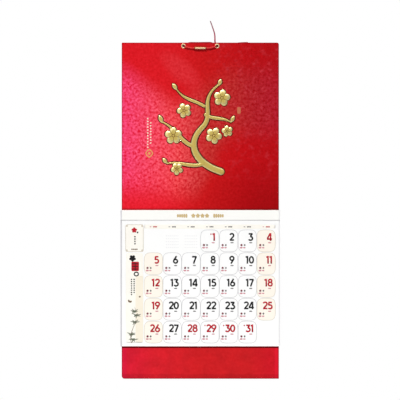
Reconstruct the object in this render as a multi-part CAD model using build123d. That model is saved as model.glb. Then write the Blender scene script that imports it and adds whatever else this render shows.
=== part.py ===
"""A hanging wall calendar: a long board with a month pad, hung by a cord through two eyelets.

Millimetres. +X is to the right seen from the front, +Y points to the wall and +Z is up. The origin is the
underside of the cord's back run, midway between the eyelets, where the nail carries it.
"""

from build123d import *
import math
import os

# Board
BOARD_WIDTH = 350.0
BOARD_HEIGHT = 748.6
BOARD_THICKNESS = 2.0
BOARD_EDGE_ROUND = 0.8
CORNER_TOP_LEFT = 1.5
CORNER_TOP_RIGHT = 4.5
CORNER_BOTTOM_LEFT = 6.5
CORNER_BOTTOM_RIGHT = 1.5
TOP_EDGE_Z = 1.2
BOARD_BACK_Y = -2.5

# Leaves and header strip
PAD_OVERHANG = 2.5
PAD_HEIGHT = 303.0
PAD_DROP = 373.0
LEAF_COUNT = 13
LEAF_PITCH = 0.16
STRIP_HEIGHT = 23.0
STRIP_THICKNESS = 0.4
STRIP_FOLD_RADIUS = 0.6

# Staples
STAPLE_COUNT = 4
STAPLE_PITCH = 88.0
STAPLE_CROWN = 12.0
STAPLE_WIRE_WIDTH = 0.6
STAPLE_WIRE_DEPTH = 0.45
STAPLE_DROP = 11.0
STAPLE_CLINCH = 4.2
STAPLE_BEND_RADIUS = 0.4
STAPLE_CLEARANCE = 0.05
STAPLE_HOLE_CLEARANCE = 0.12

# Eyelets
EYELET_SPACING = 75.0
EYELET_DROP = 7.6
EYELET_BORE = 5.2
EYELET_WALL = 0.4
EYELET_FLANGE = 10.4
EYELET_FLANGE_RISE = 0.9
EYELET_ROLL = 8.4
EYELET_ROLL_RISE = 0.7
EYELET_LIP = 0.25
EYELET_SLOPE = 0.7
EYELET_CLEARANCE = 0.05

# Tube on the front run
TUBE_LENGTH = 26.0
TUBE_DIAMETER = 5.8
TUBE_BORE = 4.0
TUBE_NECK = 0.6
TUBE_NECK_LENGTH = 1.6

# Cord: the points are the corners of its route, from the knot round to the knot and out to each end
CORD_DIAMETER = 3.0
CORD_FLAT_COUNT = 12
CORD_ARC_SHARE = 0.45
CORD_FRONT_Y = -7.7
CORD_LEVEL_Z = -11.3
CORD_LOOP = [
    (31.6, 2.0, -3.9),
    (27.0, 0.8, 1.9),
    (14.5, 0.2, 1.8),
    (-8.5, 0.0, 1.35),
    (-24.0, 0.2, 1.9),
    (-32.0, 0.6, -1.6),
    (-37.5, 0.8, -6.4),
    (-37.5, CORD_FRONT_Y, -6.4),
    (-29.2, CORD_FRONT_Y, -9.3),
    (-21.0, CORD_FRONT_Y, CORD_LEVEL_Z),
    (21.0, CORD_FRONT_Y, CORD_LEVEL_Z),
    (29.8, CORD_FRONT_Y, -9.0),
    (37.5, CORD_FRONT_Y, -6.4),
    (37.5, -1.0, -6.4),
]
CORD_TAIL_UP = [
    (35.0, 2.6, -3.2),
    (32.4, 1.9, 3.0),
    (32.8, 1.7, 13.5),
    (31.6, 1.7, 23.5),
    (28.3, 1.9, 33.4),
    (25.1, 2.1, 42.3),
    (22.3, 2.3, 50.2),
]
CORD_TAIL_SIDE = [
    (39.8, 2.4, -4.8),
    (48.0, 1.3, -4.3),
    (62.0, 0.5, -2.7),
    (76.0, 0.2, -0.7),
    (91.4, 0.2, 1.5),
    (106.3, 0.5, 1.7),
]

# Knot: two turns of cord side by side on a short core, each turn of eight flats
KNOT_CENTRE = (36.4, 2.9, -5.4)
KNOT_TURN_RADIUS = 2.7
KNOT_TURN_ROUND = 1.7
KNOT_TURN_PITCH = 3.6
KNOT_FLAT_COUNT = 8
KNOT_CORE_RADIUS = 2.9
KNOT_CORE_LENGTH = 9.6

# How far a cutting shape runs past the face that it cuts
CUT_OVERRUN = 1.0

# Places worked out from the sizes above
BOARD_FRONT_Y = BOARD_BACK_Y - BOARD_THICKNESS
PAD_THICKNESS = LEAF_COUNT * LEAF_PITCH
PAD_WIDTH = BOARD_WIDTH + 2 * PAD_OVERHANG
PAD_FRONT_Y = BOARD_FRONT_Y - PAD_THICKNESS
PAD_TOP_Z = TOP_EDGE_Z - PAD_DROP
EYELET_Z = TOP_EDGE_Z - EYELET_DROP
EYELET_BARREL_RADIUS = EYELET_BORE / 2 + EYELET_WALL
STAPLE_Z = PAD_TOP_Z - STAPLE_DROP
STAPLE_HOLE_HALF = STAPLE_WIRE_WIDTH / 2 + STAPLE_HOLE_CLEARANCE
STAPLE_CENTRES = [STAPLE_PITCH * (i - (STAPLE_COUNT - 1) / 2) for i in range(STAPLE_COUNT)]


def block(low, high):
    """The box between two corners."""
    size = [high[i] - low[i] for i in range(3)]
    middle = [(high[i] + low[i]) / 2 for i in range(3)]
    return Pos(*middle) * Box(*size)


def rod_y(x, z, radius, front, back):
    """A round rod along Y, from the plane y = front to the plane y = back."""
    return Pos(x, (front + back) / 2, z) * Rot(90, 0, 0) * Cylinder(radius, back - front)


def leg_hole(x, z, front, back):
    """A square rod along Y for a staple's leg, from the plane y = front to the plane y = back."""
    low = (x - STAPLE_HOLE_HALF, front, z - STAPLE_HOLE_HALF)
    return block(low, (x + STAPLE_HOLE_HALF, back, z + STAPLE_HOLE_HALF))


def corner_near(corners, x, z):
    """The corner of an outline on the XZ plane that lies nearest to a point."""
    return min(corners, key=lambda v: math.hypot(v.X - x, v.Z - z))


def staple_legs():
    """The places of all the legs, as pairs of x and z."""
    sides = (-STAPLE_CROWN / 2, STAPLE_CROWN / 2)
    return [(centre + side, STAPLE_Z) for centre in STAPLE_CENTRES for side in sides]


def backing_board():
    """The board: an outline with its own radius at each corner, rounded edges, eyelet and staple holes."""
    half = BOARD_WIDTH / 2
    bottom_z = TOP_EDGE_Z - BOARD_HEIGHT
    front = Plane(origin=(0, BOARD_FRONT_Y, 0), x_dir=(1, 0, 0), z_dir=(0, -1, 0))
    outline = front * Pos(0, (TOP_EDGE_Z + bottom_z) / 2) * Rectangle(BOARD_WIDTH, BOARD_HEIGHT)
    rounds = [
        (-half, TOP_EDGE_Z, CORNER_TOP_LEFT),
        (half, TOP_EDGE_Z, CORNER_TOP_RIGHT),
        (-half, bottom_z, CORNER_BOTTOM_LEFT),
        (half, bottom_z, CORNER_BOTTOM_RIGHT),
    ]
    for x, z, radius in rounds:
        outline = fillet(corner_near(outline.vertices(), x, z), radius)
    board = extrude(outline, amount=-BOARD_THICKNESS)
    faces = board.faces().sort_by(Axis.Y)
    rim = faces[0].edges() + faces[-1].edges()
    board = fillet(rim, min(BOARD_EDGE_ROUND, 0.45 * BOARD_THICKNESS))
    hole_radius = EYELET_BARREL_RADIUS + EYELET_CLEARANCE
    for side in (-1, 1):
        x = side * EYELET_SPACING / 2
        board -= rod_y(x, EYELET_Z, hole_radius, BOARD_FRONT_Y - CUT_OVERRUN, BOARD_BACK_Y + CUT_OVERRUN)
    for x, z in staple_legs():
        board -= leg_hole(x, z, BOARD_FRONT_Y - CUT_OVERRUN, BOARD_BACK_Y + CUT_OVERRUN)
    return board


def calendar_pad():
    """The leaves as one block under the strip's fold, with a slot and two holes for each staple."""
    leaves_top = PAD_TOP_Z - STRIP_THICKNESS
    pad = block(
        (-PAD_WIDTH / 2, PAD_FRONT_Y, PAD_TOP_Z - PAD_HEIGHT),
        (PAD_WIDTH / 2, BOARD_FRONT_Y, leaves_top),
    )
    head = pad.edges().filter_by(Axis.X).group_by(Axis.Z)[-1].sort_by(Axis.Y)[0]
    pad = fillet(head, STRIP_FOLD_RADIUS)
    slot_depth = STAPLE_WIRE_DEPTH + 2 * STAPLE_CLEARANCE
    slot_half = STAPLE_CROWN / 2 + STAPLE_HOLE_HALF
    for centre in STAPLE_CENTRES:
        pad -= block(
            (centre - slot_half, PAD_FRONT_Y - CUT_OVERRUN, STAPLE_Z - STAPLE_HOLE_HALF),
            (centre + slot_half, PAD_FRONT_Y + slot_depth, STAPLE_Z + STAPLE_HOLE_HALF),
        )
    for x, z in staple_legs():
        pad -= leg_hole(x, z, PAD_FRONT_Y - CUT_OVERRUN, BOARD_FRONT_Y + CUT_OVERRUN)
    return pad


def header_strip():
    """The card strip over the head of the leaves, folded back over their top edge to the board."""
    outer_front = PAD_FRONT_Y - STRIP_THICKNESS
    strip_bottom = PAD_TOP_Z - STRIP_HEIGHT
    outside = block((-PAD_WIDTH / 2, outer_front, strip_bottom), (PAD_WIDTH / 2, BOARD_FRONT_Y, PAD_TOP_Z))
    fold = outside.edges().filter_by(Axis.X).group_by(Axis.Z)[-1].sort_by(Axis.Y)[0]
    outside = fillet(fold, STRIP_FOLD_RADIUS + STRIP_THICKNESS)
    inside = block(
        (-PAD_WIDTH / 2 - CUT_OVERRUN, PAD_FRONT_Y, strip_bottom - CUT_OVERRUN),
        (PAD_WIDTH / 2 + CUT_OVERRUN, BOARD_FRONT_Y + CUT_OVERRUN, PAD_TOP_Z - STRIP_THICKNESS),
    )
    inner_fold = inside.edges().filter_by(Axis.X).group_by(Axis.Z)[-1].sort_by(Axis.Y)[0]
    return outside - fillet(inner_fold, STRIP_FOLD_RADIUS)


def staple(centre):
    """One staple of flat wire: its crown flush with the top leaf, its legs clinched behind the board."""
    half = STAPLE_CROWN / 2
    crown_y = PAD_FRONT_Y + STAPLE_CLEARANCE + STAPLE_WIRE_DEPTH / 2
    clinch_y = BOARD_BACK_Y + STAPLE_CLEARANCE + STAPLE_WIRE_DEPTH / 2
    route = [
        (centre - half + STAPLE_CLINCH, clinch_y, STAPLE_Z),
        (centre - half, clinch_y, STAPLE_Z),
        (centre - half, crown_y, STAPLE_Z),
        (centre + half, crown_y, STAPLE_Z),
        (centre + half, clinch_y, STAPLE_Z),
        (centre + half - STAPLE_CLINCH, clinch_y, STAPLE_Z),
    ]
    wire = FilletPolyline(*route, radius=STAPLE_BEND_RADIUS)
    section = Plane(origin=wire @ 0, x_dir=(0, 0, 1), z_dir=wire % 0)
    return sweep(section * Rectangle(STAPLE_WIRE_WIDTH, STAPLE_WIRE_DEPTH), path=wire)


def staples():
    """All the staples, a row along the head of the leaves."""
    return Compound([staple(centre).solid() for centre in STAPLE_CENTRES])


def eyelet(side):
    """An eyelet turned about Y: a raised flange in front, a barrel and a rolled hem behind."""
    bore = EYELET_BORE / 2
    flange = EYELET_FLANGE / 2
    roll = EYELET_ROLL / 2
    front = -BOARD_FRONT_Y
    back = -BOARD_BACK_Y
    section = make_face(
        Polyline(
            (bore, front + EYELET_LIP),
            (bore + EYELET_SLOPE, front + EYELET_FLANGE_RISE),
            (flange - EYELET_SLOPE, front + EYELET_FLANGE_RISE),
            (flange, front),
            (EYELET_BARREL_RADIUS, front),
            (EYELET_BARREL_RADIUS, back),
            (roll, back),
            ((bore + roll) / 2, back - EYELET_ROLL_RISE),
            (bore, back - EYELET_LIP),
            close=True,
        )
    )
    turned = revolve(section, axis=Axis.Y)
    return Pos(side * EYELET_SPACING / 2, 0, EYELET_Z) * Rot(180, 0, 0) * turned


def cord_tube():
    """The tube on the level stretch of the front run, necked in a little at both ends."""
    half = TUBE_LENGTH / 2
    body = TUBE_DIAMETER / 2
    bore = TUBE_BORE / 2
    neck = body - TUBE_NECK / 2
    section = make_face(
        Polyline(
            (-half, bore),
            (half, bore),
            (half, neck),
            (half - TUBE_NECK_LENGTH, body),
            (-half + TUBE_NECK_LENGTH, body),
            (-half, neck),
            close=True,
        )
    )
    return Pos(0, CORD_FRONT_Y, CORD_LEVEL_Z) * revolve(section, axis=Axis.X)


def arc_radii(points):
    """The radius at each corner: a share of its shorter run over the tangent of half the turn."""
    radii = []
    for before, at, after in zip(points, points[1:], points[2:]):
        arriving = Vector(*at) - Vector(*before)
        leaving = Vector(*after) - Vector(*at)
        half_turn = math.radians(arriving.get_angle(leaving)) / 2
        radii.append(CORD_ARC_SHARE * min(arriving.length, leaving.length) / math.tan(half_turn))
    return radii


def cord(name, points):
    """A cord of narrow flats along straight runs and tangent arcs, which prints its radii, length and volume."""
    radii = arc_radii(points)
    path = FilletPolyline(*points, radius=radii)
    section = Plane(path @ 0, z_dir=path % 0) * RegularPolygon(CORD_DIAMETER / 2, CORD_FLAT_COUNT)
    solid = sweep(section, path=path)
    print(name, "radii", [round(r, 1) for r in radii])
    volume_share = solid.volume / (section.area * path.length)
    print(name, "length", round(path.length, 1), "volume share", round(volume_share, 4))
    return solid


def cord_knot(cords):
    """The knot: two turns round a core, turned about X, with a socket where each cord enters it."""
    core = Pos(0, KNOT_CORE_RADIUS / 2) * Rectangle(KNOT_CORE_LENGTH, KNOT_CORE_RADIUS)
    section = core
    for side in (-1, 1):
        turn = RegularPolygon(KNOT_TURN_ROUND, KNOT_FLAT_COUNT)
        section += Pos(side * KNOT_TURN_PITCH / 2, KNOT_TURN_RADIUS) * turn
    knot = Pos(*KNOT_CENTRE) * revolve(section, axis=Axis.X)
    for piece in cords:
        knot -= piece
    return knot


def main():
    """Builds every piece and writes each to a file of its own."""
    loop = cord("hanging_cord", CORD_LOOP)
    tail_up = cord("cord_tail_up", CORD_TAIL_UP)
    tail_side = cord("cord_tail_side", CORD_TAIL_SIDE)
    pieces = {
        "backing_board": backing_board(),
        "calendar_pad": calendar_pad(),
        "header_strip": header_strip(),
        "staples": staples(),
        "eyelet_left": eyelet(-1),
        "eyelet_right": eyelet(1),
        "cord_tube": cord_tube(),
        "hanging_cord": loop,
        "cord_tail_up": tail_up,
        "cord_tail_side": tail_side,
        "cord_knot": cord_knot([loop, tail_up, tail_side]),
    }
    os.makedirs("parts", exist_ok=True)
    for name, piece in pieces.items():
        export_step(piece, f"parts/{name}.step")


main()
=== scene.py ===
"""Dresses a hanging wall calendar: a red board with a gold branch, a month pad, eyelets and a braided cord.

Metres. +X is to the right seen from the front, +Y points to the wall and +Z is up. Plans of printed shapes
and the routes of the cord are in millimetres, in the calendar's own frame.
"""

import logging
import math
from dataclasses import dataclass, field
from enum import Enum
from functools import cache, reduce
from operator import mul
from typing import ClassVar, Sequence

import bpy
import numpy as np
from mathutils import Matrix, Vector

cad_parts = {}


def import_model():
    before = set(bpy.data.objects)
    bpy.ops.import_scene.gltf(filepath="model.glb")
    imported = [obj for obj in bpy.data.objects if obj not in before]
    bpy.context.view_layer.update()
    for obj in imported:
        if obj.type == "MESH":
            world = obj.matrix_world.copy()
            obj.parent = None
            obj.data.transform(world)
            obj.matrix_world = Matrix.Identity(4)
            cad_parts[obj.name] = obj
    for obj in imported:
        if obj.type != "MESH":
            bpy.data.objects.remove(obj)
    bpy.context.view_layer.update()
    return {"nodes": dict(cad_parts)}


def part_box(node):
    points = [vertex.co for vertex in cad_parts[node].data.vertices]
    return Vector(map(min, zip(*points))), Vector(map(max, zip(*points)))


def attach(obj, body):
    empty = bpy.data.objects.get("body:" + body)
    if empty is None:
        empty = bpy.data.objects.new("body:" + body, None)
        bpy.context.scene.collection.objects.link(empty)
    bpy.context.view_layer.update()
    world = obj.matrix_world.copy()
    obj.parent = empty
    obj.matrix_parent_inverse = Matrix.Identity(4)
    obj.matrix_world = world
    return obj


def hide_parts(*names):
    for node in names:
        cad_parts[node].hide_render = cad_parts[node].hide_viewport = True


log = logging.getLogger("wall_calendar")

Array = np.ndarray
Colour = tuple[float, float, float]
Point = tuple[float, float, float]
Plan = tuple[float, float]
Ends = tuple[float, float]
Stops = tuple[tuple[float, Colour], ...]
Material = bpy.types.Material
Piece = bpy.types.Object
Tree = bpy.types.NodeTree

MM = 0.001
CALENDAR_BODY = "calendar"
TUBE_BODY = "tube"


class Slot(str, Enum):
    """Names of material slots, which the pieces made here are not given."""

    BOARD = "red_board"
    LEAF = "leaf_paper"
    STRIP = "header_card"
    GILT = "gilt_metal"
    CORD = "red_cord"


class Ink(Enum):
    """The printed colours."""

    CHARCOAL = (0.010, 0.010, 0.011)
    RED = (0.48, 0.008, 0.022)
    PLUM = (0.18, 0.035, 0.055)
    ROSE = (0.60, 0.26, 0.30)
    GREY = (0.16, 0.155, 0.155)
    LINE = (0.55, 0.54, 0.56)
    PALE = (0.83, 0.83, 0.84)
    CREAM = (0.97, 0.905, 0.81)
    IVORY = (0.965, 0.935, 0.86)
    SAND = (0.66, 0.60, 0.50)
    WHEAT = (0.91, 0.84, 0.70)
    GOLD = (0.60, 0.45, 0.22)
    OLIVE = (0.13, 0.145, 0.10)
    BROWN = (0.16, 0.10, 0.05)
    BEAD = (0.97, 0.70, 0.56)
    COPPER = (0.80, 0.36, 0.12)
    DULL_COPPER = (0.56, 0.15, 0.07)


Inks = dict[Ink, Material]

# Surfaces


def turns(steps: int) -> Array:
    """Evenly spaced angles all the way round."""
    return np.linspace(0, 2 * math.pi, steps, endpoint=False)


def unit(vectors: Array) -> Array:
    """Vectors with the length 1."""
    return vectors / np.linalg.norm(vectors, axis=1, keepdims=True)


@dataclass
class Surface:
    """A closed surface: points, faces of four and of three points, and named values for each point."""

    points: Array
    quads: Array
    tris: Array
    values: dict[str, Array] = field(default_factory=dict)


def skin(rings: Array, looped: bool = False) -> Surface:
    """Joins each ring of points to the next, and closes each end with a point in its middle.

    The faces are turned round where the volume, a sixth of the sum of a dot (b cross c), is negative.

    Args:
        rings: The points, ring by ring.
        looped: Whether the last ring joins the first instead.

    Returns:
        A closed surface with its faces pointing outwards.
    """
    rows, columns = rings.shape[:2]
    points = rings.reshape(-1, 3)
    index = np.arange(rows * columns).reshape(rows, columns)
    index = np.pad(index, ((0, int(looped)), (0, 1)), "wrap")
    corners = (index[:-1, :-1], index[:-1, 1:], index[1:, 1:], index[1:, :-1])
    quads = np.stack(corners, axis=-1).reshape(-1, 4)
    tris = np.zeros((0, 3), int)
    if not looped:
        pole = np.full(columns, len(points))
        start = np.stack([pole, index[0, 1:], index[0, :-1]], axis=1)
        end = np.stack([pole + 1, index[-1, :-1], index[-1, 1:]], axis=1)
        tris = np.concatenate([start, end])
        points = np.concatenate([points, rings[[0, -1]].mean(axis=1)])
    halves = np.concatenate([quads[:, [0, 1, 2]], quads[:, [0, 2, 3]], tris])
    a, b, c = np.moveaxis(points[halves] - points.mean(axis=0), 1, 0)
    order = -1 if np.sum(a * np.cross(b, c)) < 0 else 1
    return Surface(points, quads[:, ::order], tris[:, ::order])


def merged(surfaces: Sequence[Surface]) -> Surface:
    """Several surfaces as one, with their points renumbered.

    Args:
        surfaces: The surfaces to put together.

    Returns:
        One surface that holds them all.
    """
    starts = np.cumsum([0] + [len(s.points) for s in surfaces[:-1]])
    return Surface(
        np.concatenate([s.points for s in surfaces]),
        np.concatenate([s.quads + start for s, start in zip(surfaces, starts)]),
        np.concatenate([s.tris + start for s, start in zip(surfaces, starts)]),
        {name: np.concatenate([s.values[name] for s in surfaces]) for name in surfaces[0].values},
    )


def linked(name: str, data: bpy.types.ID) -> Piece:
    """Makes a new object in the scene.

    Args:
        name: The object's name.
        data: Its mesh, curve, light or camera.

    Returns:
        The object, at the origin.
    """
    thing = bpy.data.objects.new(name, data)
    bpy.context.scene.collection.objects.link(thing)
    return thing


def make_object(name: str, surface: Surface, material: Material, smooth: bool) -> Piece:
    """Puts a surface and its values into one mesh object.

    Args:
        name: The object's name.
        surface: What it is made of.
        material: Its finish.
        smooth: Whether its faces are shaded as one round surface.

    Returns:
        The object, at the origin.
    """
    mesh = bpy.data.meshes.new(name)
    mesh.from_pydata(surface.points, [], surface.quads.tolist() + surface.tris.tolist())
    mesh.polygons.foreach_set("use_smooth", np.full(len(mesh.polygons), smooth))
    for label, numbers in surface.values.items():
        layer = mesh.attributes.new(label, "FLOAT", "POINT")
        layer.data.foreach_set("value", numbers.astype(np.float32))
    mesh.materials.append(material)
    mesh.update()
    return linked(name, mesh)


def make_piece(
    name: str,
    surfaces: Sequence[Surface],
    material: Material,
    stands_for: str = "",
    body: str = CALENDAR_BODY,
    smooth: bool = True,
) -> Piece:
    """Makes surfaces one piece that rides on a body.

    Args:
        name: The piece's name.
        surfaces: What it is made of.
        material: Its finish.
        stands_for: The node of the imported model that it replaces, if any.
        body: The body that carries it.
        smooth: Whether its faces are shaded as one round surface.

    Returns:
        The piece.
    """
    whole = merged(surfaces)
    piece = make_object(name, whole, material, smooth)
    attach(piece, body)
    if stands_for:
        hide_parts(stands_for)
    log.info("%s: %d points, rides on %s", name, len(whole.points), body)
    return piece


def node_corners(node: str) -> tuple[Array, Array]:
    """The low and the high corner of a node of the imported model."""
    low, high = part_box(node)
    return np.array(low), np.array(high)


# Flat shapes of print and foil

STROKE_SIDES = 8
CAP_STEPS = 4
TIP_SHARE = 0.04
LENS_SHARES = (0.02, 0.6, 0.985, 1.0, 0.985, 0.6, 0.02)
LENS_LIFTS = (0.0, 0.0, 0.05, 0.5, 0.95, 1.0, 1.0)
PETALS = 5
PETAL_NOTCH = 0.36
PETAL_POWER = 0.7
PETAL_STEPS = 70
LEAF_POWER = 0.8
LEAF_STEPS = 14
FILL_COAT = (0.004, 0.03)
LINE_COAT = (0.02, 0.05)
MARK_COAT = (0.04, 0.08)


@dataclass(frozen=True)
class Layer:
    """A thin coat on a face: the face's y in metres, and the coat's foot and head over it in millimetres."""

    face_y: float
    foot: float
    head: float

    def place(self, plan: Array, lift: Array) -> Array:
        """A plan's points in metres, raised from the coat's foot (lift 0) to its head (lift 1)."""
        rise = self.foot + (self.head - self.foot) * np.broadcast_to(lift, plan.shape[:-1])
        return np.stack([plan[..., 0] * MM, self.face_y - rise * MM, plan[..., 1] * MM], axis=-1)


def print_coats(face_y: float) -> list[Layer]:
    """The coats of a printed face: fields of colour, lines over them and marks over those."""
    return [Layer(face_y, *coat) for coat in (FILL_COAT, LINE_COAT, MARK_COAT)]


def stroke(
    path: Array, width: float | Array, layer: Layer, rounded: bool = False, closed: bool = False
) -> Surface:
    """A stroke of ink or foil: a low cushion-like section carried along a path.

    The section is across = cos t, lift = (1 + sin t flattened by the power 0.5) / 2.

    Args:
        path: The middle line, in millimetres.
        width: The full width, one value or one for each point.
        layer: The coat that it lies in.
        rounded: Whether half-round ends are added.
        closed: Whether the last point joins the first.

    Returns:
        A closed surface.
    """
    half = np.broadcast_to(np.asarray(width, float) / 2, len(path))
    beside = np.roll(path, -1, axis=0) - np.roll(path, 1, axis=0)
    ahead = unit(beside if closed else np.gradient(path, axis=0))
    if rounded:
        turn = np.linspace(0, math.pi / 2, CAP_STEPS + 1)[1:, None]
        head = path[:1] - ahead[:1] * half[0] * np.sin(turn[::-1])
        tail = path[-1:] + ahead[-1:] * half[-1] * np.sin(turn)
        narrow = np.maximum(np.cos(turn[:, 0]), TIP_SHARE)
        path = np.concatenate([head, path, tail])
        half = np.concatenate([half[0] * narrow[::-1], half, half[-1] * narrow])
        ahead = np.pad(ahead, ((CAP_STEPS, CAP_STEPS), (0, 0)), "edge")
    angle = turns(STROKE_SIDES)
    across = np.cos(angle)
    lift = (1 + np.sign(np.sin(angle)) * np.sqrt(np.abs(np.sin(angle)))) / 2
    side = np.stack([-ahead[:, 1], ahead[:, 0]], axis=1)
    plan = path[:, None, :] + side[:, None, :] * (half[:, None] * across)[..., None]
    surface = skin(layer.place(plan, lift), closed)
    rim = np.zeros(len(surface.points))
    rim[: len(path) * STROKE_SIDES] = np.tile(np.abs(across), len(path))
    surface.values["rim"] = rim
    return surface


def lens(outline: Array, layer: Layer) -> Surface:
    """A flat field inside an outline: rings grow from the middle to the rim below and shrink again above.

    Args:
        outline: The rim, in millimetres, in order.
        layer: The coat that it lies in.

    Returns:
        A closed surface.
    """
    middle = outline.mean(axis=0)
    plan = middle + (outline - middle)[None] * np.array(LENS_SHARES)[:, None, None]
    surface = skin(layer.place(plan, np.array(LENS_LIFTS)[:, None]))
    surface.values["rim"] = np.concatenate([np.repeat(LENS_SHARES, len(outline)), [0.0, 0.0]])
    return surface


def line(start: Plan, end: Plan, steps: int = 2) -> Array:
    """Evenly spaced points from one point to another."""
    return np.linspace(start, end, steps)


def arc(centre: Plan, radii: Plan, start: float = 0, end: float = 360, steps: int = 24) -> Array:
    """Points on an ellipse, centre + (rx cos t, rz sin t), between two angles in degrees."""
    turn = np.radians(np.linspace(start, end, steps))
    return np.array(centre) + np.stack([radii[0] * np.cos(turn), radii[1] * np.sin(turn)], axis=1)


def ring(centre: Plan, radii: Plan, width: float, steps: int, layer: Layer) -> Surface:
    """A stroke round an ellipse."""
    return stroke(arc(centre, radii, steps=steps)[:-1], width, layer, closed=True)


def squircle(centre: Plan, size: Plan, power: float, steps: int = 72) -> Array:
    """A rounded box, |x / a| to the power plus |z / b| to the power = 1: an ellipse where that is 2."""
    trip = np.stack([np.cos(turns(steps)), np.sin(turns(steps))], axis=1)
    return np.array(centre) + np.sign(trip) * np.abs(trip) ** (2 / power) * np.array(size) / 2


def spot(centre: Plan, size: Plan, layer: Layer, power: float = 3.0, steps: int = 16) -> Surface:
    """A filled rounded box."""
    return lens(squircle(centre, size, power, steps), layer)


@dataclass(frozen=True)
class DotRow:
    """A row of small rounded dots: the first one's place, the step to the next, how many, and their size."""

    start: Plan | Array
    step: Plan
    count: int
    size: Plan
    power: float = 3.0

    def dots(self, layer: Layer) -> list[Surface]:
        """The dots in a coat."""
        places = np.array(self.start) + np.arange(self.count)[:, None] * self.step
        return [spot(place, self.size, layer, self.power) for place in places]


def rosette(centre: Plan, radius: float, turn: float) -> Array:
    """A flower's outline, r = R (1 - notch + notch |cos (petals t / 2)| to the power 0.7).

    Args:
        centre: The middle.
        radius: From the middle to a petal's tip.
        turn: How far it is turned, in degrees.

    Returns:
        The outline in order.
    """
    angle = turns(PETAL_STEPS)
    reach = radius * (1 - PETAL_NOTCH + PETAL_NOTCH * np.abs(np.cos(PETALS * angle / 2)) ** PETAL_POWER)
    along = angle + math.radians(turn)
    return np.array(centre) + np.stack([reach * np.cos(along), reach * np.sin(along)], axis=1)


def bezier(points: Sequence[Plan], steps: int) -> Array:
    """A smooth line, the Bernstein sum of its control points.

    Args:
        points: The control points, in millimetres.
        steps: The number of points on the line.

    Returns:
        The line's points.
    """
    degree = len(points) - 1
    t = np.linspace(0, 1, steps)[:, None]
    weights = [math.comb(degree, i) * t**i * (1 - t) ** (degree - i) for i in range(degree + 1)]
    return sum(weight * np.array(point, float) for weight, point in zip(weights, points))


def leaf_outline(start: Plan, end: Plan, width: float) -> Array:
    """A pointed leaf from one point to another, half width = w / 2 times sin (pi t) to the power 0.8.

    Args:
        start: The foot of the leaf.
        end: Its tip.
        width: Its full width.

    Returns:
        The outline in order.
    """
    along = np.array(end) - np.array(start)
    side = np.array([-along[1], along[0]]) / np.linalg.norm(along)
    t = np.linspace(0, 1, LEAF_STEPS)[:, None]
    half = np.sin(math.pi * t) ** LEAF_POWER * width / 2
    middle = np.array(start) + along * t
    return np.concatenate([(middle + side * half)[:-1], (middle - side * half)[:0:-1]])


# Finishes


class Value:
    """A number or a colour that nodes work out, which the usual signs join to others."""

    def __init__(self, nodes: "Nodes", socket: bpy.types.NodeSocket) -> None:
        """Keeps the socket that puts it out."""
        self.nodes = nodes
        self.socket = socket

    def __add__(self, other: "Value | float") -> "Value":
        """The sum."""
        return self.nodes.math("ADD", self, other)

    def __sub__(self, other: "Value | float") -> "Value":
        """The difference."""
        return self.nodes.math("SUBTRACT", self, other)

    def __rsub__(self, other: float) -> "Value":
        """A plain number less this one."""
        return self.nodes.math("SUBTRACT", other, self)

    def __mul__(self, other: "Value | float") -> "Value":
        """The product."""
        return self.nodes.math("MULTIPLY", self, other)

    def __abs__(self) -> "Value":
        """The number without its sign."""
        return self.nodes.math("ABSOLUTE", self)

    def ease(self, *steps: Ends) -> "Value":
        """The product of smooth steps, each 0 where this is at its first number and 1 at its second."""
        inputs = [{"Value": self, "From Min": start, "From Max": end} for start, end in steps]
        return reduce(mul, [self.nodes.add("MapRange", i, interpolation_type="SMOOTHSTEP") for i in inputs])


Hue = Value | Colour
Wash = tuple[Value, Hue]


def rgba(colour: Hue) -> Value | tuple[float, float, float, float]:
    """A plain colour with full opacity, or a worked-out one as it is."""
    return colour if isinstance(colour, Value) else (*colour, 1.0)


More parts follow.
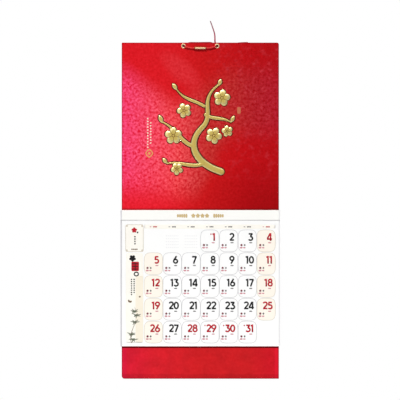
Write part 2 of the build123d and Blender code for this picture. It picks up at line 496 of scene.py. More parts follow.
class Nodes:
    """Short forms for making and linking the nodes of one tree."""

    def __init__(self, tree: Tree) -> None:
        """Keeps the tree that nodes are added to."""
        self.tree = tree

    def fill(self, node: bpy.types.Node, inputs: dict) -> None:
        """Links worked-out values to a node's inputs, and sets plain ones.

        Args:
            node: The node.
            inputs: The value for each input, by number or by name with _ for a space.
        """
        for name, value in inputs.items():
            socket = node.inputs[name.replace("_", " ") if isinstance(name, str) else name]
            if isinstance(value, Value):
                self.tree.links.new(value.socket, socket)
            else:
                socket.default_value = value

    def node(self, kind: str, inputs: dict | None = None, **settings: object) -> bpy.types.Node:
        """Adds a node, sets its properties and fills its inputs.

        Args:
            kind: The node's type, without the ShaderNode prefix.
            inputs: The value for each input, by name or number.
            settings: Properties of the node.

        Returns:
            The new node.
        """
        node = self.tree.nodes.new("ShaderNode" + kind)
        for name, value in settings.items():
            setattr(node, name, value)
        self.fill(node, inputs or {})
        return node

    def add(self, kind: str, inputs: dict | None = None, out: str | int = 0, **settings: object) -> Value:
        """Adds a node and gives one of its outputs."""
        return Value(self, self.node(kind, inputs, **settings).outputs[out])

    def math(self, operation: str, *values: Value | float, clamp: bool = False) -> Value:
        """The result of an operation on one to three values."""
        return self.add("Math", dict(enumerate(values)), operation=operation, use_clamp=clamp)

    def vector(self, operation: str, *values: Value | Point, out: str | int = 0) -> Value:
        """The result of an operation on one to three vectors."""
        return self.add("VectorMath", dict(enumerate(values)), out, operation=operation)

    def parts(self, vector: Value) -> list[Value]:
        """The x, y and z of a vector."""
        return [Value(self, part) for part in self.node("SeparateXYZ", {0: vector}).outputs]

    def place(self) -> Value:
        """The place in the calendar's own frame, in metres."""
        return self.add("TexCoord", out="Object")

    def noise(self, place: Value, scale: Value | float, detail: float = 2.0, out: str = "Fac") -> Value:
        """Soft noise, about 0.5 on average."""
        return self.add("TexNoise", {"Vector": place, "Scale": scale, "Detail": detail}, out)

    def attribute(self, name: str) -> Value:
        """A value that the points of the piece carry."""
        return self.add("Attribute", out="Fac", attribute_name=name)

    def mix(self, share: Value | float, first: Hue, second: Hue, blend: str = "MIX") -> Value:
        """Two colours, mixed by a share of the second from 0 to 1."""
        inputs = {0: share, 6: rgba(first), 7: rgba(second)}
        return self.add("Mix", inputs, 2, data_type="RGBA", blend_type=blend)

    def washed(self, colour: Hue, washes: Sequence[Wash]) -> Value:
        """A colour with others laid over it in turn, each by its share."""
        return reduce(lambda under, wash: self.mix(wash[0], under, wash[1]), washes, colour)

    def toned(self, colour: Hue, *parts: Value) -> Value:
        """A colour times a value for each of red, green and blue."""
        return self.mix(1.0, colour, self.add("CombineColor", dict(enumerate(parts))), "MULTIPLY")

    def tinted(self, colour: Hue, tint: Value) -> Value:
        """A colour times one value near 1."""
        return self.toned(colour, tint, tint, tint)

    def ramp(self, value: Value, stops: Stops) -> Value:
        """A run of colours along a value.

        Args:
            value: From 0 to 1.
            stops: The place of each colour, and the colour.

        Returns:
            The colour at that value.
        """
        node = self.node("ValToRGB", {0: value})
        elements = node.color_ramp.elements
        while len(elements) < len(stops):
            elements.new(1.0)
        for element, (place, colour) in zip(elements, stops):
            element.position = place
            element.color = rgba(colour)
        return Value(self, node.outputs[0])


def new_effect(name: str, inputs: dict[str, float]) -> tuple[Nodes, list[Value]]:
    """An empty shader node group with number inputs.

    Args:
        name: The group's name.
        inputs: The name and usual value of each input.

    Returns:
        The short forms for its nodes, and its inputs.
    """
    tree = bpy.data.node_groups.new(name, "ShaderNodeTree")
    for label, usual in inputs.items():
        socket = tree.interface.new_socket(label, in_out="INPUT", socket_type="NodeSocketFloat")
        socket.default_value = usual
    nodes = Nodes(tree)
    given = tree.nodes.new("NodeGroupInput").outputs
    return nodes, [Value(nodes, given[label]) for label in inputs]


def finished_effect(nodes: Nodes, outputs: dict[str, Value]) -> Tree:
    """Gives a shader node group its outputs.

    Args:
        nodes: The group's nodes.
        outputs: The name and value of each output.

    Returns:
        The group.
    """
    for label in outputs:
        nodes.tree.interface.new_socket(label, in_out="OUTPUT", socket_type="NodeSocketFloat")
    nodes.fill(nodes.tree.nodes.new("NodeGroupOutput"), outputs)
    return nodes.tree


@cache
def fibre_effect() -> Tree:
    """Paper fibres: fine drawn-out noise over soft clouds. Puts out a tint near 1 and a height from 0 to 1.

    Returns:
        The group, made on the first call.
    """
    nodes, (scale, amount) = new_effect("paper_fibre", {"Fibre scale": 900.0, "Amount": 0.03})
    place = nodes.place()
    drawn = nodes.add("Mapping", {"Vector": place, "Scale": (1.0, 1.0, 0.35)})
    fine = nodes.noise(drawn, scale, 4.0)
    both = nodes.noise(place, 22.0) * 0.6 + fine * 0.4
    return finished_effect(nodes, {"Tint": (both - 0.5) * amount + 1.0, "Height": fine})


@cache
def wear_effect() -> Tree:
    """Handling marks: broken fine scratches and smudges. Puts out a mask from 0 to 1.

    Returns:
        The group, made on the first call.
    """
    nodes, (scale, amount) = new_effect("handling_wear", {"Scale": 300.0, "Amount": 0.3})
    place = nodes.place()
    slant = {"Rotation": (0.4, 0.2, 0.7), "Scale": (6.0, 1.0, 1.0)}
    drawn = nodes.add("Mapping", {"Vector": place, **slant})
    scratches = nodes.noise(drawn, scale, 3.0).ease((0.55, 0.75))
    mask = nodes.math("MAXIMUM", scratches, nodes.noise(place, 90.0)) * amount
    return finished_effect(nodes, {"Mask": mask})


class Finish:
    """A material in the making: its nodes, its Principled shader and the shared effects."""

    def __init__(self, name: str, **plain: float) -> None:
        """Starts a material.

        Args:
            name: The material's name.
            plain: Values that are the same all over, by the shader's input names with _ for a space.
        """
        self.material = bpy.data.materials.new(name)
        self.material.use_nodes = True
        self.nodes = Nodes(self.material.node_tree)
        self.set(**plain)

    def set(self, **values: Value | float) -> None:
        """Sets or links the shader's inputs."""
        self.nodes.fill(self.material.node_tree.nodes["Principled BSDF"], values)

    def shared(self, effect: Tree, **values: float) -> list[Value]:
        """Places a shared effect with its own values, and gives its outputs."""
        node = self.nodes.node("Group", values, node_tree=effect)
        return [Value(self.nodes, socket) for socket in node.outputs]

    def bump(self, height: Value, depth: float, strength: float) -> None:
        """Raises the surface by a height from 0 to 1, at most depth metres."""
        inputs = {"Height": height, "Distance": depth, "Strength": strength}
        self.set(Normal=self.nodes.add("Bump", inputs))


@dataclass(frozen=True)
class PaperFinish:
    """Smooth white stock: leaves and card."""

    name: str
    colour: Colour
    roughness: float
    edge_colour: Colour
    edge: Ends = (0.1742, 0.1748)
    right_share: float = 0.45

    def build(self) -> Material:
        """Makes the material: fibres all over, and a greyer run at the outer edges left and right, painted
        shade of the sheets' edges.

        Returns:
            The material.
        """
        finish = Finish(self.name, Specular_IOR_Level=0.3)
        nodes = finish.nodes
        tint, height = finish.shared(fibre_effect(), Fibre_scale=1400.0, Amount=0.05)
        x = nodes.parts(nodes.place())[0]
        # painted shade: greyer towards the outer edges left and right
        left = x.ease((-self.edge[0], -self.edge[1]))
        outer = left + x.ease(self.edge) * self.right_share
        colour = nodes.tinted(nodes.mix(outer, self.colour, self.edge_colour), tint)
        finish.set(Base_Color=colour, Roughness=height * 0.12 + self.roughness)
        finish.bump(height, 0.00002, 0.25)
        return finish.material


@dataclass(frozen=True)
class InkFinish:
    """A printed colour."""

    name: str
    colour: Colour
    roughness: float = 0.45

    def build(self) -> Material:
        """Makes the material: the colour, a little uneven as ink on paper is.

        Returns:
            The material.
        """
        finish = Finish(self.name, Specular_IOR_Level=0.16)
        tint, height = finish.shared(fibre_effect(), Fibre_scale=1800.0, Amount=0.16)
        colour = finish.nodes.tinted(self.colour, tint)
        finish.set(Base_Color=colour, Roughness=height * 0.2 + self.roughness)
        return finish.material


@dataclass(frozen=True)
class MetalFinish:
    """Gilt, foil or steel, with the name of the points' value that lays painted light on it, if any: painted
    shade on the tube, a painted highlight on the foil's rims.
    """

    name: str
    colour: Colour
    deep_colour: Colour
    roughness: float
    wear: float
    shade: str = ""
    shade_colour: Colour = (0.0, 0.0, 0.0)

    def build(self) -> Material:
        """Makes the material: metal, deeper and duller where it was handled, and painted light and shade by
        the points' value.

        Returns:
            The material.
        """
        finish = Finish(self.name, Metallic=1.0)
        nodes = finish.nodes
        (worn,) = finish.shared(wear_effect(), Scale=420.0, Amount=self.wear)
        colour = nodes.mix(worn, self.colour, self.deep_colour)
        # painted light: the points' value mixes in painted shade or a painted highlight
        if self.shade:
            colour = nodes.mix(nodes.attribute(self.shade).ease((0.45, 0.95)), colour, self.shade_colour)
        finish.set(Base_Color=colour, Roughness=worn * 0.3 + self.roughness)
        finish.bump(worn, 0.00003, 0.3)
        return finish.material


@dataclass(frozen=True)
class CordFinish:
    """Glossy braided yarn, with painted shade in the braid's valleys, behind the board and inside the
    eyelets, bleached towards an end.
    """

    name: str
    crest: Colour
    valley: Colour
    faded: Colour
    behind: Colour
    behind_from: Ends = (-0.0034, -0.0012)

    def build(self) -> Material:
        """Makes the material from the braid's own relief, and from the points' value of bleach or painted
        shade.

        Returns:
            The material.
        """
        finish = Finish(self.name, Sheen_Weight=0.05, Sheen_Roughness=0.4)
        nodes = finish.nodes
        relief = nodes.attribute("relief")
        fade = nodes.attribute("fade")
        tint, height = finish.shared(fibre_effect(), Fibre_scale=3200.0, Amount=0.3)
        depth = nodes.parts(nodes.place())[1].ease(self.behind_from)
        # painted shade: valleys deeper than crests, the run behind the board darker, the loop dark inside the
        # eyelets; at the tail's end the same value is a real bleach
        washes = ((relief, self.crest), (depth, self.behind), (fade, self.faded))
        finish.set(
            Base_Color=nodes.tinted(nodes.washed(self.valley, washes), tint),
            Roughness=fade * 0.3 + (relief * -0.2 + 0.62),
            Specular_IOR_Level=fade * -0.17 + 0.2,
        )
        finish.bump(height, 0.0001, 0.4)
        return finish.material


@dataclass(frozen=True)
class Patch:
    """A soft patch of colour: its steps in z and across, in metres and shares of the width, and its share."""

    height: Ends
    across: Ends
    share: float
    colour: Colour


@dataclass
class BoardFinish:
    """Figured red paper with scrolls worked into it, turned over the edges, with a pale lining behind.

    Ends are where a smooth step begins and ends: metres, shares of the width for glow_right, or values of
    noise for scroll_patches and clouds. figure_shares are for the panel, its glowing middle and the foot.
    """

    half_width: float
    top_z: float
    bottom_z: float
    pad_top_z: float
    pad_bottom_z: float
    back_y: float
    # glow holds the painted sheen of the panel's middle, from pink at the left to deep red at the right
    glow: Stops = (
        (0.0, (0.90, 0.048, 0.155)),
        (0.22, (0.90, 0.062, 0.105)),
        (0.34, (0.84, 0.062, 0.074)),
        (0.55, (0.54, 0.023, 0.021)),
        (0.7, (0.49, 0.019, 0.020)),
        (0.85, (0.44, 0.011, 0.018)),
        (1.0, (0.434, 0.008, 0.020)),
    )
    plain: Stops = (
        (0.0, (0.735, 0.007, 0.015)),
        (0.3, (0.70, 0.008, 0.014)),
        (0.55, (0.58, 0.006, 0.008)),
        (0.8, (0.505, 0.002, 0.005)),
        (1.0, (0.455, 0.002, 0.005)),
    )
    low: Stops = (
        (0.0, (0.62, 0.009, 0.030)),
        (0.2, (0.64, 0.012, 0.022)),
        (0.5, (0.575, 0.011, 0.0145)),
        (0.8, (0.56, 0.011, 0.0145)),
        (1.0, (0.585, 0.006, 0.017)),
    )
    figure_gain: Colour = (0.072, 0.40, 0.34)
    sweep_scale: float = 9.0
    patch_scale: float = 26.0
    mottle_scale: float = 34.0
    warp_scale: float = 55.0
    cloud_scale: float = 62.0
    scroll_scale: float = 72.0
    blotch_scale: float = 165.0
    sweep_gain: float = 0.10
    mottle_gain: float = 0.5
    blotch_gain: float = 12.0
    scroll_gain: float = 0.8
    scroll_patches: Ends = (0.38, 0.66)
    figure_floor: float = -2.2
    figure_shares: Point = (0.5, 0.5, -0.28)
    scroll_pitch: float = 0.006
    warp: Point = (0.012, 0.012, 0.0)
    glow_fan: float = 0.35
    glow_slant: float = 0.23
    glow_top: Ends = (-0.025, -0.10)
    glow_right: Ends = (0.45, 0.72)
    glow_rise: float = -0.135
    glow_foot: Ends = (-0.37, -0.30)
    streak_at: Plan = (-0.043, -0.060)
    streak_slant: Plan = (0.75, 0.66)
    streak_reach: Plan = (0.070, 0.030)
    streak_share: float = 0.6
    streak_colour: Colour = (0.74, 0.030, 0.040)
    low_corners: tuple[Patch, ...] = (
        Patch((-0.24, -0.38), (0.35, 0.95), 0.75, (0.30, 0.0005, 0.002)),
        Patch((-0.25, -0.37), (0.5, 0.1), 0.7, (0.815, 0.013, 0.030)),
    )
    clouds: Ends = (0.48, 0.78)
    veil: Patch = Patch((-0.35, -0.22), (0.48, 0.7), 0.6, (0.55, 0.030, 0.044))
    foot_blend: float = 0.02
    foot_sides: tuple[tuple[Ends, float, Colour], ...] = (
        ((-0.1638, -0.1652), 0.4, (0.66, 0.006, 0.052)),
        ((0.1650, 0.1665), 0.5, (0.78, 0.010, 0.032)),
    )
    # over_line is painted shade above the pad's top edge, under_line a painted shadow below the pad's foot
    over_line: tuple[Ends, Ends] = ((0.0054, 0.0014), (-0.006, -0.002))
    under_line: tuple[Ends, Ends] = ((0.0046, 0.0034), (0.0004, 0.0018))
    over_share: float = 0.6
    low_line: Ends = (0.0115, 0.0095)
    low_share: float = 0.18
    crease: Colour = (0.11, 0.0005, 0.002)
    # rim: painted shade along the board's edges; the same colour also draws the mitre folds behind
    rim: Ends = (0.0030, 0.0012)
    rim_share: float = 0.42
    rim_colour: Colour = (0.16, 0.002, 0.010)
    back: Ends = (-0.0006, -0.0001)
    mitre: Ends = (0.0009, 0.0003)
    mitre_share: float = 0.7
    turned_colour: Colour = (0.50, 0.008, 0.016)
    turn_in: Ends = (0.016, 0.0164)
    lining: Colour = (0.72, 0.68, 0.60)
    # seam: a painted shade line along the lining where it meets the turned margin
    seam: Ends = (0.0172, 0.0164)
    seam_share: float = 0.35
    lining_edge: Colour = (0.30, 0.26, 0.22)
    roughness: float = 0.46

    def __post_init__(self) -> None:
        """Starts the material, with the places that its colours go by.

        along is the share of the width from the left, a little uneven. foot is 1 below the pad, 0 above it.
        """
        self.finish = Finish("figured_red_paper", Specular_IOR_Level=0.06)
        self.nodes = self.finish.nodes
        self.x, self.y, self.z = self.nodes.parts(self.nodes.place())
        self.plan = self.nodes.add("CombineXYZ", {0: self.x, 1: self.z})
        width = {"Value": self.x, "From Min": -self.half_width, "From Max": self.half_width}
        uneven = (self.nodes.noise(self.plan, self.sweep_scale) - 0.5) * self.sweep_gain
        self.along = self.nodes.math("ADD", self.nodes.add("MapRange", width), uneven, clamp=True)
        middle = (self.pad_top_z + self.pad_bottom_z) / 2
        self.foot = self.z.ease((middle + self.foot_blend, middle - self.foot_blend))

    def scrolls(self) -> Value:
        """Curled clouds: in each scattered cell a spiral wave, sin (angle + 2 pi distance / pitch).

        Returns:
            The pattern, from -1 to 1.
        """
        nodes = self.nodes
        noise = nodes.noise(self.plan, self.warp_scale, out="Color")
        shift = nodes.vector("SUBTRACT", noise, (0.5, 0.5, 0.5))
        bent = nodes.vector("MULTIPLY_ADD", shift, self.warp, self.plan)
        scattered = {"Vector": bent, "Scale": self.scroll_scale, "Randomness": 0.9}
        cell = nodes.add("TexVoronoi", scattered, "Position", voronoi_dimensions="2D")
        away = nodes.vector("SUBTRACT", bent, cell)
        right, up, _ = nodes.parts(away)
        wave = nodes.vector("LENGTH", away, out="Value") * (2 * math.pi / self.scroll_pitch)
        return nodes.math("SINE", wave + nodes.math("ARCTAN2", up, right))

    def figure(self) -> Value:
        """The figure of the paper: scrolls that come and go in patches, under soft blotches.

        Returns:
            The figure, about 0 on average.
        """
        patches = self.nodes.noise(self.plan, self.patch_scale, 3.0).ease(self.scroll_patches)
        blotches = (self.nodes.noise(self.plan, self.blotch_scale, 3.0) - 0.5) * self.blotch_gain
        figure = self.scrolls() * (patches * self.scroll_gain) + blotches
        return self.nodes.math("MAXIMUM", figure, self.figure_floor)

    def middle(self) -> Value:
        """The panel's painted sheen, a glowing middle which starts on a slant and ends higher at the right.

        Returns:
            The share of the glow, from 0 to 1.
        """
        fan = self.nodes.math("MAXIMUM", self.glow_fan - abs(self.along - self.glow_fan), 0.0)
        falling = (fan * self.glow_slant + self.z).ease(self.glow_top)
        rising = (self.along.ease(self.glow_right) * self.glow_rise + self.z).ease(self.glow_foot)
        return rising * falling

    def streak(self) -> Value:
        """A soft slanted streak above the middle, which fades to 0 on an ellipse.

        Returns:
            The share of its colour, at most streak_share.
        """
        right = self.x - self.streak_at[0]
        up = self.z - self.streak_at[1]
        run, fall = self.streak_slant
        length, breadth = self.streak_reach
        along = right * (run / length) + up * (-fall / length)
        across = right * (fall / breadth) + up * (run / breadth)
        return (along * along + across * across).ease((1.0, 0.0)) * self.streak_share

    def patch(self, patch: Patch) -> Wash:
        """A patch's share at each place, and its colour."""
        edges = self.z.ease(patch.height) * self.along.ease(patch.across)
        return edges * patch.share, patch.colour

    def panel_washes(self) -> list[Wash]:
        """What lies over the panel's gradient: the streak, two corners below, and pale clouds at the right.

        Returns:
            The share and colour of each.
        """
        corners = [self.patch(corner) for corner in self.low_corners]
        clouds = self.nodes.noise(self.plan, self.cloud_scale, 4.0).ease(self.clouds)
        share, colour = self.patch(self.veil)
        return [(self.streak(), self.streak_colour), *corners, (share * clouds, colour)]

    def front(self) -> Value:
        """The gradient: a painted sheen, pinker at the left of the panel's middle, over a red that runs
        deeper to the right and below.

        Returns:
            The colour, with the paper's figure worked into it, weakest on the foot.
        """
        nodes = self.nodes
        middle = self.middle()
        # painted sheen: the glow ramp is laid over the plain one by the sheen's share
        panel = nodes.mix(middle, nodes.ramp(self.along, self.plain), nodes.ramp(self.along, self.glow))
        mottle = (nodes.noise(self.plan, self.mottle_scale, 3.0) - 0.5) * self.mottle_gain + 1.0
        below = nodes.tinted(nodes.ramp(self.along, self.low), mottle)
        colour = nodes.mix(self.foot, nodes.washed(panel, self.panel_washes()), below)
        panel_share, middle_share, foot_share = self.figure_shares
        figure = self.figure() * (middle * middle_share + (self.foot * foot_share + panel_share))
        self.finish.bump(figure, 0.0001, 0.3)
        return nodes.toned(colour, *(figure * gain + 1.0 for gain in self.figure_gain))

    def press_lines(self) -> list[Wash]:
        """The foot's tinted sides, and dark lines: painted shade along the pad's top edge, a painted shadow
        below the pad's foot, and a darker band along the board's bottom.

        Returns:
            The share and colour of each.
        """
        sides = [(self.x.ease(ends) * self.foot * share, tint) for ends, share, tint in self.foot_sides]
        # painted shade along the pad's top edge and painted shadow below its foot
        over = (self.z - self.pad_top_z).ease(*self.over_line) * (1.0 - self.foot)
        under = (self.pad_bottom_z - self.z).ease(*self.under_line) * self.foot
        low = (self.z - self.bottom_z).ease(self.low_line)
        shares = (over * self.over_share, under, low * self.low_share)
        return sides + [(share, self.crease) for share in shares]

    def build(self) -> Material:
        """Makes the material: front, side tints and dark lines, darker rims of painted shade, and behind a
        mitred margin round the lining, edged with a painted shade line.

        Returns:
            The material.
        """
        nodes = self.nodes
        tint, height = self.finish.shared(fibre_effect(), Fibre_scale=700.0, Amount=0.10)
        front = nodes.washed(nodes.tinted(self.front(), tint), self.press_lines())
        side = self.half_width - abs(self.x)
        end = nodes.math("MINIMUM", self.top_z - self.z, self.z - self.bottom_z)
        rim = nodes.math("MINIMUM", side, end)
        behind = (self.y - self.back_y).ease(self.back)
        # painted shade line along the lining's edge
        seam = rim.ease(self.seam) * self.seam_share
        lining = nodes.mix(seam, nodes.tinted(self.lining, tint), self.lining_edge)
        washes = (
            # painted shade darkens the board's rims
            (rim.ease(self.rim) * self.rim_share, self.rim_colour),
            (behind, nodes.tinted(self.turned_colour, tint)),
            (abs(side - end).ease(self.mitre) * behind * self.mitre_share, self.rim_colour),
            (behind * rim.ease(self.turn_in), lining),
        )
        self.finish.set(Base_Color=nodes.washed(front, washes), Roughness=height * 0.14 + self.roughness)
        return self.finish.material


# The month pad


@dataclass
class LeafStack:
    """The loose leaves, one thin sheet behind another, each cut a hair differently."""

    low: Array
    high: Array
    count: int = 13
    sheet: float = 0.00012
    cut_spread: float = 0.00022
    lift: float = 0.00012
    waves: float = 17.0
    wave_step: float = 0.3
    seed: int = 7
    columns: int = 25
    rows: int = 21

    def build(self, material: Material) -> None:
        """Makes all the leaves as one piece that stands for the block of paper.

        Args:
            material: The paper.
        """
        pitch = (self.high[1] - self.low[1]) / self.count
        trims = np.random.default_rng(self.seed).uniform(0, self.cut_spread, (self.count, 3))
        trims[0] = 0
        leaves = [self.leaf(self.low[1] + pitch * i, trims[i], i) for i in range(self.count)]
        make_piece("leaf_stack", leaves, material, "calendar_pad", smooth=False)

    def leaf(self, front: float, trim: Array, number: int) -> Surface:
        """One sheet: a thin section from head to foot, carried across the width, a little wavy at its foot.

        The wave is lift times (drop below the head / height) squared times (1 + sin of the place) / 2.

        Args:
            front: The y of its front face.
            trim: How much shorter it is at the left, the right and the foot.
            number: Its place in the stack, from the front, which has no wave.

        Returns:
            A closed surface.
        """
        x = np.linspace(self.low[0] + trim[0], self.high[0] - trim[1], self.columns)[:, None]
        z = np.linspace(self.high[2], self.low[2] + trim[2], self.rows)
        around = np.concatenate([z, z[::-1]])
        depth = np.repeat([0.0, self.sheet], self.rows)
        drop = ((self.high[2] - around) / (self.high[2] - self.low[2])) ** 2
        sway = np.sin(x * self.waves + number * self.wave_step) * 0.5 + 0.5
        y = front + depth + self.lift * drop * sway * (number > 0)
        return skin(np.stack(np.broadcast_arrays(x, y, around), axis=-1))


NUMERAL_STROKE = 0.205
NUMERAL_WIDTHS = {"1": 0.40, "4": 0.63, "7": 0.60}
NUMERAL_USUAL_WIDTH = 0.62
NUMERAL_SPREAD = 1.05


def numeral_paths(digit: str) -> list[Array]:
    """The strokes of a plain numeral, one unit high, from straight runs and parts of ellipses.

    Args:
        digit: One figure from 0 to 9.

    Returns:
        The middle line of each stroke.
    """
    foot = NUMERAL_STROKE / 2
    top = 1 - foot
    two_bow = arc((0.30, 0.705), (0.225, 0.225), 165, -40)
    two_neck = np.concatenate([two_bow, line((0.44, 0.515), (0.10, 0.10))])
    three_bow = arc((0.28, 0.315), (0.255, 0.24), 100, -150)
    four_arm = line((0.41, 0.97), (0.05, 0.27))
    five_bow = arc((0.28, 0.32), (0.245, 0.245), 132, -145)
    strokes = {
        "0": [arc((0.31, 0.5), (0.235, 0.5 - foot), steps=36)],
        "1": [line((0.22, 0.0), (0.22, 1.0)), line((0.0, top - 0.06), (0.22, top))],
        "2": [two_neck, line((0.04, foot), (0.57, foot))],
        "3": [line((0.06, top), (0.54, top)), line((0.50, top), (0.25, 0.57)), three_bow],
        "4": [line((0.46, 0.0), (0.46, 1.0)), four_arm, line((0.0, 0.23), (0.63, 0.23))],
        "5": [line((0.10, top), (0.52, top)), line((0.15, top), (0.12, 0.50)), five_bow],
        "6": [arc((0.31, 0.315), (0.235, 0.24)), line((0.43, 1.0), (0.10, 0.43))],
        "7": [line((0.02, top), (0.57, top)), line((0.51, top), (0.19, 0.0))],
        "8": [arc((0.31, 0.735), (0.19, 0.19)), arc((0.31, 0.305), (0.235, 0.23))],
        "9": [arc((0.31, 0.685), (0.235, 0.24)), line((0.19, 0.0), (0.52, 0.57))],
    }
    return strokes[digit]


@dataclass
class MonthPrint:
    """The printed month: cells in rows of seven, plain numerals, small marks and a bar over the columns."""

    face_y: float
    columns: int = 7
    rows: int = 5
    first: Plan = (-104.2, -441.0)
    pitch: Plan = (41.8, 50.8)
    cell: Plan = (41.1, 48.5)
    cell_power: float = 3.9
    cell_rise: float = 0.9
    outline: float = 0.95
    first_day_column: int = 3
    days: int = 31
    free_days: tuple[int, ...] = (1, 28, 29, 30, 31)
    marked_days: tuple[int, ...] = (1, 29, 30, 31)
    numeral: float = 17.1
    numeral_right: float = 12.9
    second_digit_right: float = 1.6
    numeral_top: float = 18.0
    mark_power: float = 2.6
    note_at: Plan = (7.5, -3.4)
    note: Plan = (7.0, 2.5)
    small_marks: tuple[tuple[str, Plan, Plan], ...] = (
        ("plum_marks", (-13.2, -8.6), (4.7, 4.8)),
        ("grey_marks", (-6.2, -8.6), (3.8, 4.2)),
        ("rose_marks", (-13.8, -14.4), (6.4, 3.6)),
        ("rose_marks", (-6.8, -14.4), (5.2, 3.0)),
    )
    bar_rise: float = 8.2
    bar_short: float = 1.5
    bar_height: float = 9.4
    bar_power: float = 12.0
    bar_steps: int = 96
    block_at: Plan = (0.6, -0.4)
    block: Plan = (2.9, 3.0)
    block_count: int = 3
    block_pitch: float = 3.0
    bar_note_at: Plan = (-6.4, -0.4)
    bar_note: Plan = (4.2, 1.6)
    day_mark_at: Plan = (-3.2, -2.4)
    day_mark: Plan = (3.0, 3.0)
    neighbour_columns: tuple[int, ...] = (1, 2)
    neighbour_at: Plan = (-13.0, 12.0)
    neighbour_pitch: Plan = (4.3, 6.4)
    neighbour_dot: Plan = (2.0, 2.4)

    PIECES: ClassVar[dict[str, Ink]] = {
        "weekday_bar": Ink.IVORY,
        "rest_fills": Ink.CREAM,
        "cell_outlines": Ink.LINE,
        "rest_outlines": Ink.SAND,
        "weekday_numerals": Ink.CHARCOAL,
        "rest_day_numerals": Ink.RED,
        "day_marks": Ink.GREY,
        "rest_day_marks": Ink.RED,
        "plum_marks": Ink.PLUM,
        "rose_marks": Ink.ROSE,
        "grey_marks": Ink.GREY,
        "neighbour_months": Ink.PALE,
    }

    def __post_init__(self) -> None:
        """Sets the coats and starts an empty list of shapes for each piece."""
        self.fills, self.lines, self.marks = print_coats(self.face_y)
        self.prints: dict[str, list[Surface]] = {name: [] for name in self.PIECES}

    def centre(self, column: float, row: int) -> Array:
        """The middle of a cell, in millimetres."""
        return np.array(self.first) + np.array(self.pitch) * (column, -row)

    def is_rest_column(self, column: int) -> bool:
        """Whether a column is the first or the last."""
        return column in (0, self.columns - 1)

    def mark(self, piece: str, start: Array, size: Plan, count: int = 1, step: float = 0.0) -> None:
        """Adds a level row of small rounded marks to a piece."""
        self.prints[piece] += DotRow(start, (step, 0.0), count, size, self.mark_power).dots(self.marks)

    def number_corner(self, day: int, middle: Array) -> Array:
        """The lower left corner of a date, which ends near its cell's right side.

        Args:
            day: The number.
            middle: The middle of its cell.

        Returns:
            The corner, in millimetres.
        """
        digits = str(day)
        widths = [NUMERAL_WIDTHS.get(digit, NUMERAL_USUAL_WIDTH) for digit in digits]
        right = self.numeral_right + self.second_digit_right * (len(digits) - 1)
        left = right - sum(widths) * NUMERAL_SPREAD * self.numeral
        return middle + (left, self.numeral_top - self.numeral)

    def number(self, day: int, corner: Array) -> list[Surface]:
        """A date in plain numerals.

        Args:
            day: The number.
            corner: Its lower left corner.

        Returns:
            The strokes.
        """
        scale = np.array([NUMERAL_SPREAD, 1.0]) * self.numeral
        strokes = []
        for digit in str(day):
            for path in numeral_paths(digit):
                strokes.append(stroke(corner + path * scale, NUMERAL_STROKE * self.numeral, self.marks))
            corner = corner + (NUMERAL_WIDTHS.get(digit, NUMERAL_USUAL_WIDTH) * scale[0], 0.0)
        return strokes

    def print_day(self, day: int) -> None:
        """Adds one date's cell, number and small marks to the prints.

        Args:
            day: The number.
        """
        row, column = divmod(day - 1 + self.first_day_column, self.columns)
        middle = self.centre(column, row)
        corner = self.number_corner(day, middle)
        rest = self.is_rest_column(column)
        free = rest or day in self.free_days
        shape = squircle(middle + (0.0, self.cell_rise), self.cell, self.cell_power)
        edge = stroke(shape, self.outline, self.lines, closed=True)
        self.prints["rest_outlines" if rest else "cell_outlines"].append(edge)
        if rest:
            self.prints["rest_fills"].append(lens(shape, self.fills))
        self.prints["rest_day_numerals" if free else "weekday_numerals"] += self.number(day, corner)
        self.mark("rose_marks" if free else "grey_marks", middle + self.note_at, self.note)
        for piece, at, size in self.small_marks:
            self.mark(piece, middle + at, size)
        if day in self.marked_days:
            head = corner + (0.0, self.numeral)
            self.mark("rest_day_marks", head + self.day_mark_at, self.day_mark)

    def print_bar(self) -> None:
        """Adds the pale bar over the columns, with a few small blocks for each."""
        level = self.first[1] + self.cell[1] / 2 + self.bar_rise
        middle = (self.centre((self.columns - 1) / 2, 0)[0], level)
        size = (self.columns * self.pitch[0] - self.bar_short, self.bar_height)
        self.prints["weekday_bar"].append(spot(middle, size, self.fills, self.bar_power, self.bar_steps))
        for column in range(self.columns):
            rest = self.is_rest_column(column)
            at = np.array([self.centre(column, 0)[0], level])
            piece = "rest_day_marks" if rest else "day_marks"
            self.mark(piece, at + self.block_at, self.block, self.block_count, self.block_pitch)
            self.mark("rose_marks" if rest else "grey_marks", at + self.bar_note_at, self.bar_note)

    def print_neighbours(self) -> None:
        """Adds two very pale tables of dots in the empty cells of the first row."""
        across, down = self.neighbour_pitch
        for column in self.neighbour_columns:
            corner = self.centre(column, 0) + self.neighbour_at
            for row in range(self.rows):
                start = corner - (0.0, down * row)
                dots = DotRow(start, (across, 0.0), self.columns, self.neighbour_dot, self.mark_power)
                self.prints["neighbour_months"] += dots.dots(self.lines)

    def build(self, inks: Inks) -> None:
        """Prints the whole month, one piece for each colour.

        Args:
            inks: The printed colours.
        """
        for day in range(1, self.days + 1):
            self.print_day(day)
        self.print_bar()
        self.print_neighbours()
        for name, ink in self.PIECES.items():
            make_piece(name, self.prints[name], inks[ink])


